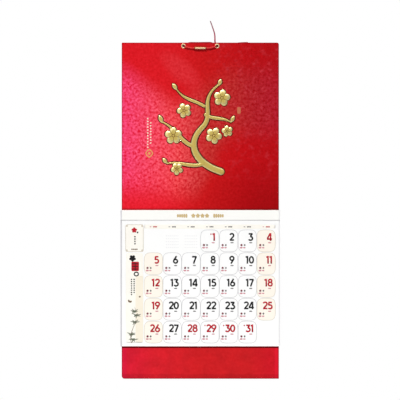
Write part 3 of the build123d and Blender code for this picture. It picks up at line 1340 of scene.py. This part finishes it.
@dataclass
class SidePanel:
    """The narrow column left of the month: a small framed plate, an ornament and a leafy sprig."""

    face_y: float
    plate_centre: Plan = (-146.4, -434.2)
    plate: Plan = (39.5, 60.0)
    frame: float = 1.2
    knob_reach: Plan = (17.2, 27.2)
    knob: Plan = (4.2, 4.2)
    plate_row: DotRow = DotRow((-152.0, -459.0), (3.6, 0.0), 4, (3.2, 3.0))
    column_centre: Plan = (-146.4, -567.0)
    column: Plan = (39.0, 200.0)
    sand_centre: Plan = (-135.4, -592.0)
    sand: Plan = (17.0, 148.0)
    box_power: float = 14.0
    box_steps: int = 120
    panel_centre: Plan = (-144.9, -497.0)
    panel: Plan = (17.0, 21.0)
    panel_power: float = 8.0
    red_flower: tuple[Plan, float, float] = ((-146.9, -416.4), 6.2, 90.0)
    dark_flower: tuple[Plan, float, float] = ((-150.9, -479.0), 7.6, 54.0)
    dark_ring: tuple[Plan, Plan, float, int] = ((-142.4, -514.0), (4.6, 4.2), 2.6, 32)
    bars: tuple[tuple[Plan, Plan], ...] = (
        ((-151.9, -491.0), (-137.9, -491.0)),
        ((-151.9, -497.0), (-137.9, -497.0)),
        ((-151.9, -503.0), (-137.9, -503.0)),
        ((-144.9, -488.0), (-144.9, -506.0)),
    )
    bar: float = 1.7
    dot_rows: tuple[DotRow, ...] = (
        DotRow((-153.0, -526.0), (0.0, -4.8), 8, (3.0, 2.9)),
        DotRow((-147.2, -526.0), (0.0, -4.8), 7, (3.0, 2.9)),
        DotRow((-145.4, -431.0), (0.0, -5.2), 4, (3.3, 3.3)),
        DotRow((-139.6, -421.6), (0.0, 0.0), 1, (3.6, 3.8)),
    )
    stem: tuple[Plan, ...] = ((-153.0, -667.0), (-163.0, -640.0), (-132.0, -622.0), (-146.0, -588.0))
    stem_steps: int = 40
    stem_width: Ends = (1.4, 0.6)
    tufts: tuple[Plan, ...] = (
        (-147.0, -597.0), (-142.0, -606.0), (-146.0, -621.0), (-153.0, -648.0), (-149.0, -660.0),
    )
    tuft_leaves: int = 9
    tuft_turn: float = 23.0
    leaf_turn: float = 40.0
    leaf_reach: float = 6.6
    leaf_sway: float = 3.0
    leaf_beat: float = 2.3
    leaf_spread: Plan = (1.25, 0.8)
    leaf_width: float = 2.0
    wing_foot: Plan = (-156.8, -577.5)
    wing_tips: tuple[Plan, ...] = ((-160.5, -571.0), (-152.5, -573.5))
    wing_width: float = 3.8
    seed_at: Plan = (-134.8, -564.5)
    seed: Plan = (4.2, 3.6)
    seed_power: float = 2.2

    def __post_init__(self) -> None:
        """Sets the coats."""
        self.fills, self.lines, self.marks = print_coats(self.face_y)

    def box(self, centre: Plan, size: Plan, layer: Layer) -> Surface:
        """A field of colour with nearly square corners."""
        return spot(centre, size, layer, self.box_power, self.box_steps)

    def plate_lines(self) -> list[Surface]:
        """The plate's frame, with a small knob at each corner.

        Returns:
            The shapes.
        """
        outline = squircle(self.plate_centre, self.plate, self.box_power, self.box_steps)
        ways = np.array([(-1, -1), (-1, 1), (1, -1), (1, 1)])
        corners = np.array(self.plate_centre) + ways * self.knob_reach
        knobs = [spot(corner, self.knob, self.marks, steps=20) for corner in corners]
        return [stroke(outline, self.frame, self.lines, closed=True), *knobs]

    def dark_shapes(self) -> list[Surface]:
        """A flower over the red panel, a ring under it, fret bars on it, and rows of dots.

        Returns:
            The shapes.
        """
        dark = [lens(rosette(*self.dark_flower), self.marks), ring(*self.dark_ring, self.marks)]
        dark += [stroke(line(*ends), self.bar, self.marks) for ends in self.bars]
        dark += [dot for row in self.dot_rows for dot in row.dots(self.marks)]
        return dark

    def stems(self) -> list[Surface]:
        """A climbing stem, and above it a pair of seed wings and a seed.

        Returns:
            The shapes.
        """
        widths = np.linspace(*self.stem_width, self.stem_steps)
        stem = stroke(bezier(self.stem, self.stem_steps), widths, self.lines, rounded=True)
        outlines = [leaf_outline(self.wing_foot, tip, self.wing_width) for tip in self.wing_tips]
        wings = [lens(outline, self.marks) for outline in outlines]
        return [stem, *wings, spot(self.seed_at, self.seed, self.marks, self.seed_power, steps=20)]

    def leaves(self) -> list[Surface]:
        """The sprig's tufts: leaves all round, as long as leaf_reach + leaf_sway sin (leaf_beat i + tuft).

        Returns:
            The leaves.
        """
        found = []
        for tuft, foot in enumerate(self.tufts):
            for i in range(self.tuft_leaves):
                angle = math.radians(self.leaf_turn * i + self.tuft_turn * tuft)
                reach = self.leaf_reach + self.leaf_sway * math.sin(self.leaf_beat * i + tuft)
                way = np.array([math.cos(angle), math.sin(angle)]) * self.leaf_spread
                found.append(lens(leaf_outline(foot, foot + way * reach, self.leaf_width), self.marks))
        return found

    def build(self, inks: Inks) -> None:
        """Prints the column, one piece for each colour.

        Args:
            inks: The printed colours.
        """
        plate = self.box(self.plate_centre, self.plate, self.fills)
        column = self.box(self.column_centre, self.column, self.fills)
        sand = self.box(self.sand_centre, self.sand, self.lines)
        panel = spot(self.panel_centre, self.panel, self.lines, self.panel_power, steps=72)
        pieces = (
            ("side_fields", [plate, column], Ink.IVORY),
            ("side_field_sand", [sand], Ink.WHEAT),
            ("side_plate_lines", self.plate_lines(), Ink.SAND),
            ("side_plate_marks", self.plate_row.dots(self.marks), Ink.BROWN),
            ("side_ornament_red", [panel, lens(rosette(*self.red_flower), self.marks)], Ink.RED),
            ("side_ornament_dark", self.dark_shapes(), Ink.CHARCOAL),
            ("sprig_stems", self.stems(), Ink.BROWN),
            ("sprig_leaves", self.leaves(), Ink.OLIVE),
        )
        for name, shapes, ink in pieces:
            make_piece(name, shapes, inks[ink])


@dataclass
class StripOrnament:
    """The header strip's gold row of small flowers and blocks, and a painted shadow line along its lower
    edge.
    """

    low: Array
    high: Array
    coat: Ends = (0.004, 0.04)
    row_z: float = -384.4
    block_count: int = 5
    block_from: float = 31.0
    block_pitch: float = 4.7
    block_width: float = 4.4
    block_height: float = 8.8
    block_shrink: float = 0.4
    flower_count: int = 4
    flower_from: float = -15.6
    flower_pitch: float = 10.2
    flower: float = 4.8
    rule: float = 1.2
    rule_rise: float = 0.6
    rule_inset: float = 0.2

    def build(self, inks: Inks) -> None:
        """Prints the row and the painted shadow line.

        Args:
            inks: The printed colours.
        """
        coat = Layer(self.low[1], *self.coat)
        row = []
        for side in (-1, 1):
            for i in range(self.block_count):
                at = (side * (self.block_from + self.block_pitch * i), self.row_z)
                size = (self.block_width, self.block_height - self.block_shrink * i)
                row.append(spot(at, size, coat, steps=24))
        for i in range(self.flower_count):
            at = (self.flower_from + self.flower_pitch * i, self.row_z)
            row.append(lens(rosette(at, self.flower, 90.0), coat))
        make_piece("strip_ornament", row, inks[Ink.GOLD])
        # a grey line of painted shadow under the strip's lower edge, drawn as a thin stroke
        level = self.low[2] / MM + self.rule_rise
        reach = self.high[0] / MM - self.rule_inset
        rule = stroke(line((-reach, level), (reach, level)), self.rule, coat)
        make_piece("strip_edge_shadow", [rule], inks[Ink.LINE])


# The board's ornament


@dataclass(frozen=True)
class Twig:
    """One brushed limb: its control points, and its widths from foot through belly to tip, in millimetres."""

    points: tuple[Plan, ...]
    foot: float
    belly: float
    tip: float

    def widths(self, steps: int) -> Array:
        """A brush's width: a straight taper from foot to tip plus belly times sin (pi t) squared."""
        t = np.linspace(0, 1, steps)
        return self.foot + (self.tip - self.foot) * t + self.belly * np.sin(math.pi * t) ** 2


@dataclass
class GoldBranch:
    """A raised gold-foil branch with five-petalled flowers and buds, edged in a dark line."""

    face_y: float
    edging_coat: Ends = (0.004, 0.06)
    foil_coat: Ends = (0.03, 0.45)
    heart_coat: Ends = (0.40, 0.50)
    edge: float = 2.1
    steps: int = 48
    heart: float = 0.17
    heart_line: float = 1.2
    stamen: Ends = (0.26, 0.62)
    stamen_line: float = 1.0
    twigs: tuple[Twig, ...] = (
        Twig(((46, -286), (-12, -268), (-34, -224), (6, -186)), 15.0, 2.0, 10.5),
        Twig(((2, -190), (36, -160), (-8, -128), (42, -92)), 11.0, 2.0, 3.6),
        Twig(((-14, -230), (-44, -222), (-52, -190), (-84, -176)), 9.0, 2.5, 2.6),
        Twig(((12, -160), (34, -172), (50, -164), (68, -176)), 7.0, 2.0, 2.4),
        Twig(((8, -268), (-20, -280), (-44, -262), (-74, -268)), 7.5, 2.5, 2.4),
        Twig(((8, -140), (-14, -126), (-34, -128), (-52, -104)), 6.5, 2.0, 2.2),
    )
    flowers: tuple[tuple[Plan, float, float], ...] = (
        ((-60, -206), 19.0, 20.0),
        ((30, -206), 18.0, 64.0),
        ((-36, -150), 16.0, 40.0),
        ((48, -122), 18.5, 8.0),
        ((60, -196), 12.5, 30.0),
        ((-52, -280), 13.5, 50.0),
    )
    buds: tuple[tuple[Plan, Plan, float], ...] = (
        ((-84, -178), (-92, -160), 9.5),
        ((42, -94), (46, -80), 9.0),
        ((68, -176), (76, -162), 8.0),
        ((-52, -104), (-62, -90), 9.0),
        ((-74, -268), (-84, -256), 8.0),
    )

    def shapes(self, layer: Layer, grow: float) -> list[Surface]:
        """The branch, its flowers and its buds, all grown outwards by the same amount.

        Args:
            layer: The coat that they lie in.
            grow: How much wider each is on every side, in millimetres.

        Returns:
            The shapes.
        """
        found = []
        for twig in self.twigs:
            path = bezier(twig.points, self.steps)
            found.append(stroke(path, twig.widths(self.steps) + 2 * grow, layer, rounded=True))
        for centre, radius, turn in self.flowers:
            found.append(lens(rosette(centre, radius + grow, turn), layer))
        for foot, tip, width in self.buds:
            along = (np.array(tip) - np.array(foot)) * grow / math.dist(foot, tip)
            found.append(lens(leaf_outline(foot - along, tip + along, width + 2 * grow), layer))
        return found

    def hearts(self, layer: Layer) -> list[Surface]:
        """The flowers' dark hearts: a ring, and a stamen towards each notch between petals.

        Args:
            layer: The coat that they lie in.

        Returns:
            The strokes.
        """
        found = []
        for centre, radius, turn in self.flowers:
            found.append(ring(centre, (radius * self.heart,) * 2, self.heart_line, 24, layer))
            for i in range(PETALS):
                angle = math.radians(turn + 360 * (i + 0.5) / PETALS)
                ray = np.array([math.cos(angle), math.sin(angle)]) * radius
                foot, tip = (centre + ray * share for share in self.stamen)
                found.append(stroke(line(foot, tip, 6), self.stamen_line, layer, rounded=True))
        return found

    def build(self, gold: Material, edging: Material) -> None:
        """Makes the foil and its dark edge.

        Args:
            gold: The foil.
            edging: The dark line round it.
        """
        edges = self.shapes(Layer(self.face_y, *self.edging_coat), self.edge)
        make_piece("branch_edging", edges, edging)
        make_piece("gold_branch", self.shapes(Layer(self.face_y, *self.foil_coat), 0.0), gold)
        make_piece("flower_hearts", self.hearts(Layer(self.face_y, *self.heart_coat)), edging)


@dataclass
class BeadDrop:
    """Two printed files of small pale beads over a copper lozenge, and a dull tab across from them."""

    face_y: float
    coat: Ends = (0.004, 0.05)
    files: tuple[DotRow, ...] = (
        DotRow((-117.0, -168.0), (0.0, -6.4), 11, (3.5, 3.5), 2.4),
        DotRow((-110.4, -177.6), (0.0, -6.4), 8, (3.5, 3.5), 2.4),
    )
    lozenge_at: Plan = (-113.7, -245.4)
    lozenge: Plan = (15.0, 17.0)
    lozenge_line: float = 2.6
    lozenge_heart: Plan = (6.0, 7.0)
    lozenge_power: float = 1.3
    tab_at: Plan = (86.0, -150.0)
    tab: Plan = (8.0, 15.0)
    tab_power: float = 5.0

    def build(self, inks: Inks) -> None:
        """Prints them.

        Args:
            inks: The printed colours.
        """
        coat = Layer(self.face_y, *self.coat)
        beads = [dot for row in self.files for dot in row.dots(coat)]
        outline = squircle(self.lozenge_at, self.lozenge, self.lozenge_power, steps=40)
        heart = spot(self.lozenge_at, self.lozenge_heart, coat, self.lozenge_power, steps=24)
        lozenge = [stroke(outline, self.lozenge_line, coat, closed=True), heart]
        tab = [spot(self.tab_at, self.tab, coat, self.tab_power, steps=40)]
        make_piece("pale_beads", beads, inks[Ink.BEAD])
        make_piece("copper_lozenge", lozenge, inks[Ink.COPPER])
        make_piece("dull_tab", tab, inks[Ink.DULL_COPPER])


# Gilt pieces


def turned(profile: Array, steps: int, origin: Array, axis: int) -> Surface:
    """A profile turned about an axis: (along, radius) becomes along, and radius (cos t, sin t) round it.

    Args:
        profile: The places along the axis and the radii, in order round the section.
        steps: The number of steps round the axis.
        origin: A point on the axis.
        axis: 0 for X, 1 for Y.

    Returns:
        A closed surface.
    """
    angle = turns(steps)[:, None]
    points = np.empty((steps, len(profile), 3))
    points[..., axis] = profile[:, 0]
    points[..., 1 - axis] = profile[:, 1] * np.cos(angle)
    points[..., 2] = profile[:, 1] * np.sin(angle)
    return skin(points + origin, True)


@dataclass
class Eyelet:
    """A gilt eyelet: a domed flange in front, a barrel through the board and a rolled hem behind."""

    node: str
    board_front: float
    board_back: float
    bore: float = 0.0026
    barrel: float = 0.003
    roll_share: float = 0.8
    rim_steps: int = 14
    sides: int = 64
    paper_reach: float = 0.00095
    paper_gap: float = 0.00002
    paper_inset: float = 0.0004
    paper: float = 0.0002
    paper_sides: int = 48

    def rim(self, reach: float, rise: float, start: float, face: float) -> Array:
        """Half an ellipse from the bore to a reach, which rises from a face of the board.

        Args:
            reach: The outer radius.
            rise: How far it stands off the face.
            start: The angle that it starts at, in degrees.
            face: The y of the face.

        Returns:
            The places along the axis and the radii.
        """
        radii = ((reach - self.bore) / 2, rise)
        half = arc(((self.bore + reach) / 2, 0.0), radii, start, start + 180, self.rim_steps)
        return np.stack([face - half[:, 1], half[:, 0]], axis=1)

    def build(self, material: Material, paper: Material) -> None:
        """Turns the eyelet in the place of its node, with the punched paper left in its bore, dark red as
        painted shade.

        Args:
            material: The gilt.
            paper: The punched paper's colour, a dark red of painted shade.
        """
        low, high = node_corners(self.node)
        axis_point = (low + high) / 2 * (1, 0, 1)
        flange = (high[0] - low[0]) / 2
        front = self.rim(flange, self.board_front - low[1], 0, self.board_front)
        behind = self.rim(flange * self.roll_share, high[1] - self.board_back, 180, self.board_back)
        barrel = np.array([[self.board_back, self.barrel], [self.board_front, self.barrel]])
        gilt = turned(np.concatenate([front, behind, barrel]), self.sides, axis_point, 1)
        inner, outer = self.bore - self.paper_reach, self.bore - self.paper_gap
        back = self.board_back - self.paper_inset
        fore = back - self.paper
        section = np.array([[back, inner], [fore, inner], [fore, outer], [back, outer]])
        # the punched paper is dark red: painted shade inside the bore
        shaded_paper = turned(section, self.paper_sides, axis_point, 1)
        make_piece(self.node + "_shaded_bore_paper", [shaded_paper], paper)
        make_piece(self.node + "_gilt", [gilt], material, self.node)


@dataclass
class SlideTube:
    """The gilt tube on the cord: a rolled tube with a bead at each end."""

    node: str = "cord_tube"
    bore: float = 0.002
    flare: float = 0.0003
    flare_length: float = 0.0006
    inside_reach: float = 0.0005
    bead: float = 0.0009
    neck: float = 0.00010
    neck_at: float = 0.0022
    end_round: float = 0.0005
    end_gap: float = 0.0002
    steps: int = 90
    sides: int = 64
    bright_turn: float = 1.07
    dark_end: float = 0.0024
    dark_under: Ends = (-0.85, -0.60)

    def build(self, material: Material) -> Piece:
        """Turns the tube about the cord's axis, in the place of its node.

        The outer radius is the node's less neck times exp (-(distance to neck_at / half a bead) squared).

        Args:
            material: The gilt.

        Returns:
            The tube.
        """
        low, high = node_corners(self.node)
        half, _, radius = (high - low) / 2
        along = np.linspace(self.end_gap - half, half - self.end_gap, self.steps)
        to_end = half - np.abs(along)
        groove = np.exp(-(((to_end - self.neck_at) / (self.bead * 0.5)) ** 2))
        round_off = np.sqrt(1 - (1 - np.clip(to_end / self.bead, 0, 1)) ** 2)
        outer = radius - self.neck * groove - (1 - round_off) * self.end_round
        mouth = np.array([[half, self.bore + self.flare], [half - self.flare_length, self.bore]])
        inside = np.concatenate([mouth, [[0.0, self.bore]], mouth[::-1] * (-1, 1)])
        profile = np.concatenate([np.stack([along, outer], axis=1), inside])
        surface = turned(profile, self.sides, (low + high) / 2, 0)
        # painted light and shade round the tube: brightest low at the front, dark above, below, inside and at
        # the ends
        surface.values["patina"] = self.patina(profile, half).ravel()
        return make_piece("slide_tube", [surface], material, self.node, TUBE_BODY)

    def patina(self, profile: Array, half: float) -> Array:
        """How much painted shade points get: least where cos (t - front) is 1, wholly at the ends, inside and
        below.

        Args:
            profile: The places along the axis and the radii.
            half: Half the tube's length.

        Returns:
            The values, from 0 to 1, step by step round the axis.
        """
        turn = turns(self.sides)[:, None]
        bright = np.clip(np.cos(turn - math.pi - self.bright_turn), 0, 1)
        end = np.clip((half - np.abs(profile[:, 0])) / self.dark_end, 0, 1) ** 2
        outside = profile[:, 1] > self.bore + self.inside_reach
        above = np.interp(np.sin(turn), self.dark_under, (0, 1))
        return 1 - bright * end * outside * above


# Cords


@dataclass(frozen=True)
class Route:
    """A cord's route: points in millimetres, and the direction that its section's first axis is square to."""

    points: tuple[Point, ...]
    across: Point
    steps: int = 40

    def centreline(self) -> Array:
        """The points of the smooth spline with the route's points as its control points.

        Returns:
            The line, in metres.
        """
        curve = bpy.data.curves.new("route", "CURVE")
        curve.dimensions = "3D"
        curve.resolution_u = self.steps
        spline = curve.splines.new("NURBS")
        spline.points.add(len(self.points) - 1)
        homogeneous = np.column_stack([np.array(self.points) * MM, np.ones(len(self.points))])
        spline.points.foreach_set("co", homogeneous.ravel().astype(np.float32))
        spline.order_u = 3
        spline.use_endpoint_u = True
        holder = linked("route", curve)
        bpy.context.view_layer.update()
        mesh = bpy.data.meshes.new_from_object(holder)
        found = np.empty(len(mesh.vertices) * 3, np.float32)
        mesh.vertices.foreach_get("co", found)
        bpy.data.objects.remove(holder)
        bpy.data.curves.remove(curve)
        bpy.data.meshes.remove(mesh)
        return found.reshape(-1, 3).astype(float)


LOOP = Route(
    (
        (31.6, 2.0, -3.9), (27.0, 0.8, 1.9), (14.5, 0.2, 1.8), (-8.5, 0.0, 1.35),
        (-24.0, 0.2, 1.9), (-32.0, 0.6, -1.6), (-37.5, 0.8, -6.4), (-37.5, -7.7, -6.4),
        (-29.2, -7.7, -9.3), (-21.0, -7.7, -11.3), (-12.6, -7.7, -11.3), (12.1, -7.7, -11.3),
        (21.0, -7.7, -11.3), (29.8, -7.7, -9.0), (37.5, -7.7, -6.4), (37.5, -1.0, -6.4),
    ),
    (0.0, 0.0, 1.0),
)
TAIL_UP = Route(
    (
        (35.0, 2.6, -3.2), (32.4, 1.9, 3.0), (32.8, 1.7, 13.5), (31.6, 1.7, 23.5),
        (28.3, 1.9, 33.4), (25.1, 2.1, 42.3), (22.3, 2.3, 50.2),
    ),
    (0.0, 1.0, 0.0),
)
TAIL_SIDE = Route(
    (
        (39.8, 2.4, -4.8), (48.0, 1.3, -4.3), (62.0, 0.5, -2.7),
        (76.0, 0.2, -0.7), (91.4, 0.2, 1.5), (106.3, 0.5, 1.7),
    ),
    (0.0, 0.0, 1.0),
)


@dataclass(frozen=True)
class Braid:
    """A round braided cord: a diamond relief of two crossing sets of strands, with a taper and a bleach
    towards an end.
    """

    diameter: float = 0.003
    taper: Ends = (1.0, 1.0)
    fade: Ends = (0.0, 0.0)
    sides: int = 40
    strands: int = 5
    lay_length: float = 0.0095
    relief: float = 0.15
    tip_length: float = 0.0012
    tip_share: float = 0.55
    tip_relief: float = 0.3

    def surface(self, path: Array, across: Point) -> Surface:
        """The cord's surface: radius = d / 2 (1 - relief (1 - w)), w the height of the crossing strands.

        w = (1 + cos (n t + k s) cos (n t - k s)) / 2, t round the cord and s along it.

        Args:
            path: The line that it follows.
            across: The direction that the section's first axis is square to.

        Returns:
            A closed surface with relief values, and values of bleach along its length.
        """
        ahead = unit(np.gradient(path, axis=0))
        side = unit(np.cross(ahead, across))
        up = np.cross(side, ahead)
        run = np.concatenate([[0.0], np.cumsum(np.linalg.norm(np.diff(path, axis=0), axis=1))])
        share = run / run[-1]
        angle = turns(self.sides)[None, :]
        twist = run[:, None] * 4 * math.pi / self.lay_length
        height = (1 + np.cos(self.strands * angle + twist) * np.cos(self.strands * angle - twist)) / 2
        end = np.clip(np.minimum(run, run[-1] - run) / self.tip_length, 0, 1)
        blunt = self.tip_share + (1 - self.tip_share) * np.sqrt(1 - (1 - end) ** 2)
        half = self.diameter / 2 * np.interp(share, (0, 1), self.taper) * blunt
        radius = half[:, None] * (1 - self.relief * (1 - height))
        outward = np.cos(angle)[..., None] * side[:, None, :] + np.sin(angle)[..., None] * up[:, None, :]
        surface = skin(path[:, None, :] + radius[..., None] * outward)
        faded = np.repeat(np.interp(share, (0, 1), self.fade), self.sides)
        surface.values["relief"] = np.concatenate([height.ravel(), [self.tip_relief, self.tip_relief]])
        surface.values["fade"] = np.concatenate([faded, self.fade])
        return surface


@dataclass
class HangingCord:
    """The cord: a loop through both eyelets, a knot behind the right one, and two loose ends."""

    material: Material
    tail_material: Material
    loop_node: str = "hanging_cord"
    knot_node: str = "cord_knot"
    bore_x: float = 0.0375
    bore_reach: float = 0.0027
    knot_braid: Braid = Braid(diameter=0.00264, sides=32)
    knot_reach: float = 0.00112
    knot_depth: float = 0.00135
    knot_steps: int = 260

    def knot(self) -> Piece:
        """A tight overhand knot: (sin t + 2 sin 2t, cos t - 2 cos 2t) times reach, and depth times sin 3t.

        Returns:
            The knot, about the middle of its node.
        """
        low, high = node_corners(self.knot_node)
        t = np.linspace(0, 2 * math.pi, self.knot_steps)
        x = self.knot_reach * (np.sin(t) + 2 * np.sin(2 * t))
        z = self.knot_reach * (np.cos(t) - 2 * np.cos(2 * t))
        path = (low + high) / 2 + np.stack([x, self.knot_depth * np.sin(3 * t), z], axis=1)
        surface = self.knot_braid.surface(path, (0.0, 1.0, 0.0))
        return make_piece("knot_braid", [surface], self.material, self.knot_node)

    def declare(
        self,
        name: str,
        route: Route,
        braid: Braid,
        node: str,
        material: Material,
    ) -> None:
        """Makes one length of cord along its route.

        Args:
            name: The piece's name.
            route: Its route.
            braid: Its thickness and relief.
            node: The node that it replaces.
            material: Its finish.
        """
        path = route.centreline()
        surface = braid.surface(path, route.across)
        is_loop = node == self.loop_node
        if is_loop:
            near_bore = np.abs(np.abs(surface.points[:, 0]) - self.bore_x) < self.bore_reach
            # near the eyelets' bores the loop takes painted shade through the same value
            surface.values["fade"] = near_bore.astype(float)
        piece = make_piece(name, [surface], material, node)

    def build(self, tube: Piece) -> None:
        """Makes the knot, the loop and the two loose ends.

        Args:
            tube: The gilt tube on the loop.
        """
        upright = Braid(taper=(1.2, 0.8), fade=(0.0, 0.9))
        level = Braid(taper=(1.0, 0.95))
        on_loop = (self.knot(), tube)
        self.declare("hanging_cord_braid", LOOP, Braid(), self.loop_node, self.material)
        self.declare("tail_up_braid", TAIL_UP, upright, "cord_tail_up", self.tail_material)
        self.declare("tail_side_braid", TAIL_SIDE, level, "cord_tail_side", self.material)


# Studio


@dataclass
class Studio:
    """Floor, light and camera for a straight view of the front."""

    front_y: float
    view_x: float = -0.00067
    view_z: float = -0.3493
    view_width: float = 0.8906
    lens_mm: float = 120.0
    sensor_mm: float = 36.0
    floor_z: float = -1.15
    floor_width: float = 3600.0
    floor_power: float = 8.0
    floor_depth: float = 0.02
    floor_core: float = 0.02
    floor_finish: PaperFinish = PaperFinish("pale_floor", (0.8, 0.8, 0.79), 0.6, (0.8, 0.8, 0.79), (3.0, 4.0))
    key_strength: float = 2.45
    key_angle: float = 7.0
    key_direction: Point = (0.16, 1.0, -1.05)
    fill_watts: float = 6.0
    fill_size: float = 1.6
    fill_at: Point = (-0.9, -2.4, -0.3)
    sky_heights: Ends = (-0.6, 0.8)
    sky_strengths: Ends = (0.12, 0.5)

    def aim(self, lamp: Piece, direction: Sequence[float]) -> None:
        """Turns a light to shine in a direction."""
        lamp.rotation_euler = Vector(direction).to_track_quat("-Z", "Y").to_euler()

    def key_light(self) -> None:
        """An even light from above and a little from the left, as from a large window far off."""
        data = bpy.data.lights.new("key", "SUN")
        data.energy = self.key_strength
        data.angle = math.radians(self.key_angle)
        self.aim(linked("key", data), self.key_direction)

    def fill_light(self) -> None:
        """A square soft light that looks at the middle of the front."""
        data = bpy.data.lights.new("fill", "AREA")
        data.size = self.fill_size
        data.energy = self.fill_watts
        lamp = linked("fill", data)
        lamp.location = self.fill_at
        self.aim(lamp, np.array([0.0, self.front_y, self.view_z]) - self.fill_at)

    def sky(self) -> None:
        """A world that is white to the camera and lights the part softly, more from above than from below."""
        world = bpy.data.worlds.new("studio")
        bpy.context.scene.world = world
        world.use_nodes = True
        world.node_tree.nodes.clear()
        nodes = Nodes(world.node_tree)
        up = nodes.parts(nodes.add("TexCoord", out="Generated"))[2]
        heights = dict(zip(("From Min", "From Max"), self.sky_heights))
        strengths = dict(zip(("To Min", "To Max"), self.sky_strengths))
        strength = nodes.add("MapRange", {"Value": up, **heights, **strengths})
        soft = nodes.add("Background", {"Strength": strength})
        white = nodes.add("Background", {"Color": rgba((1.0, 1.0, 1.0)), "Strength": 1.0})
        seen = nodes.add("LightPath", out="Is Camera Ray")
        nodes.node("OutputWorld", {0: nodes.add("MixShader", {0: seen, 1: soft, 2: white})})

    def floor(self) -> None:
        """A pale floor well below the calendar: a slab with a rounded outline."""
        outline = squircle((0.0, 0.0), (self.floor_width, self.floor_width), self.floor_power) * MM
        plan = outline[None] * np.array([self.floor_core, 1.0, 1.0, self.floor_core])[:, None, None]
        depth = np.array([0.0, 0.0, self.floor_depth, self.floor_depth])[:, None]
        level = np.broadcast_to(self.floor_z - depth, plan.shape[:2])
        slab = skin(np.concatenate([plan, level[..., None]], axis=-1))
        make_object("floor", slab, self.floor_finish.build(), False)

    def camera(self) -> None:
        """A long lens straight in front, as far off as makes the frame as wide as is given."""
        data = bpy.data.cameras.new("front")
        data.lens = self.lens_mm
        data.sensor_width = self.sensor_mm
        eye = linked("front", data)
        distance = self.view_width * self.lens_mm / self.sensor_mm
        eye.location = (self.view_x, self.front_y - distance, self.view_z)
        eye.rotation_euler = (math.pi / 2, 0.0, 0.0)
        bpy.context.scene.camera = eye

    def build(self) -> None:
        """Sets up the whole studio."""
        bpy.context.scene.view_settings.view_transform = "Standard"
        self.key_light()
        self.fill_light()
        self.sky()
        self.floor()
        self.camera()


# The finishes in use

LEAF_STOCK = PaperFinish("leaf_stock", (0.96, 0.96, 0.955), roughness=0.5, edge_colour=(0.56, 0.55, 0.58))
IVORY_CARD = PaperFinish("ivory_card", (0.965, 0.96, 0.925), roughness=0.45, edge_colour=(0.66, 0.65, 0.68))
# the tube's gilt is darkened by painted shade where its points' value says
GILT = MetalFinish(
    "polished_gilt",
    colour=(1.0, 0.80, 0.50),
    deep_colour=(0.70, 0.46, 0.20),
    roughness=0.46,
    wear=0.3,
    shade="patina",
    shade_colour=(0.30, 0.10, 0.035),
)
# the foil's rims get a painted highlight in cream, by the points' rim value
FOIL = MetalFinish(
    "gold_foil",
    colour=(0.76, 0.58, 0.155),
    deep_colour=(0.60, 0.45, 0.115),
    roughness=0.42,
    wear=0.30,
    shade="rim",
    shade_colour=(1.0, 0.87, 0.42),
)
STEEL = MetalFinish(
    "staple_steel", colour=(0.62, 0.61, 0.59), deep_colour=(0.36, 0.35, 0.33), roughness=0.30, wear=0.4
)
EDGING = InkFinish("dark_edging", (0.12, 0.011, 0.001))
# dark red paper in the eyelets' bores: painted shade
SHADED_BORE_PAPER = InkFinish("bore_paper_painted_shade", (0.10, 0.004, 0.006), roughness=0.7)
# the loop's dark colour near the bores is painted shade
CORD_RED = CordFinish(
    "red_braid",
    crest=(0.92, 0.065, 0.055),
    valley=(0.50, 0.012, 0.014),
    faded=(0.12, 0.003, 0.006),
    behind=(0.30, 0.006, 0.015),
)
TAIL_RED = CordFinish(
    "faded_red_braid",
    crest=(0.62, 0.028, 0.085),
    valley=(0.40, 0.016, 0.055),
    faded=(0.30, 0.21, 0.24),
    behind=(0.62, 0.028, 0.085),
)


def dress_node(node: Piece, material: Material) -> None:
    """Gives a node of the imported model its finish.

    Args:
        node: The node.
        material: The finish.
    """
    node.data.materials.clear()
    node.data.materials.append(material)
    log.info("%s: dressed in %s", node.name, material.name)


def main() -> None:
    """Builds every piece in order."""
    logging.basicConfig(level=logging.INFO, format="%(name)s %(message)s")
    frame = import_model()
    nodes = frame["nodes"]
    board_low, board_high = node_corners("backing_board")
    pad_low, pad_high = node_corners("calendar_pad")
    strip_low, strip_high = node_corners("header_strip")

    heights = (board_high[2], board_low[2], strip_high[2], pad_low[2])
    board = BoardFinish(board_high[0], *heights, board_high[1])
    inks = {ink: InkFinish(ink.name.lower() + "_ink", ink.value).build() for ink in Ink}
    gilt = GILT.build()
    shaded_paper = SHADED_BORE_PAPER.build()

    dress_node(nodes["backing_board"], board.build())
    dress_node(nodes["header_strip"], IVORY_CARD.build())
    dress_node(nodes["staples"], STEEL.build())
    LeafStack(pad_low, pad_high).build(LEAF_STOCK.build())
    MonthPrint(pad_low[1]).build(inks)
    SidePanel(pad_low[1]).build(inks)
    StripOrnament(strip_low, strip_high).build(inks)
    GoldBranch(board_low[1]).build(FOIL.build(), EDGING.build())
    BeadDrop(board_low[1]).build(inks)
    for node in ("eyelet_left", "eyelet_right"):
        Eyelet(node, board_low[1], board_high[1]).build(gilt, shaded_paper)
    tube = SlideTube().build(gilt)
    HangingCord(CORD_RED.build(), TAIL_RED.build()).build(tube)
    Studio(board_low[1]).build()


if __name__ == "__main__":
    main()
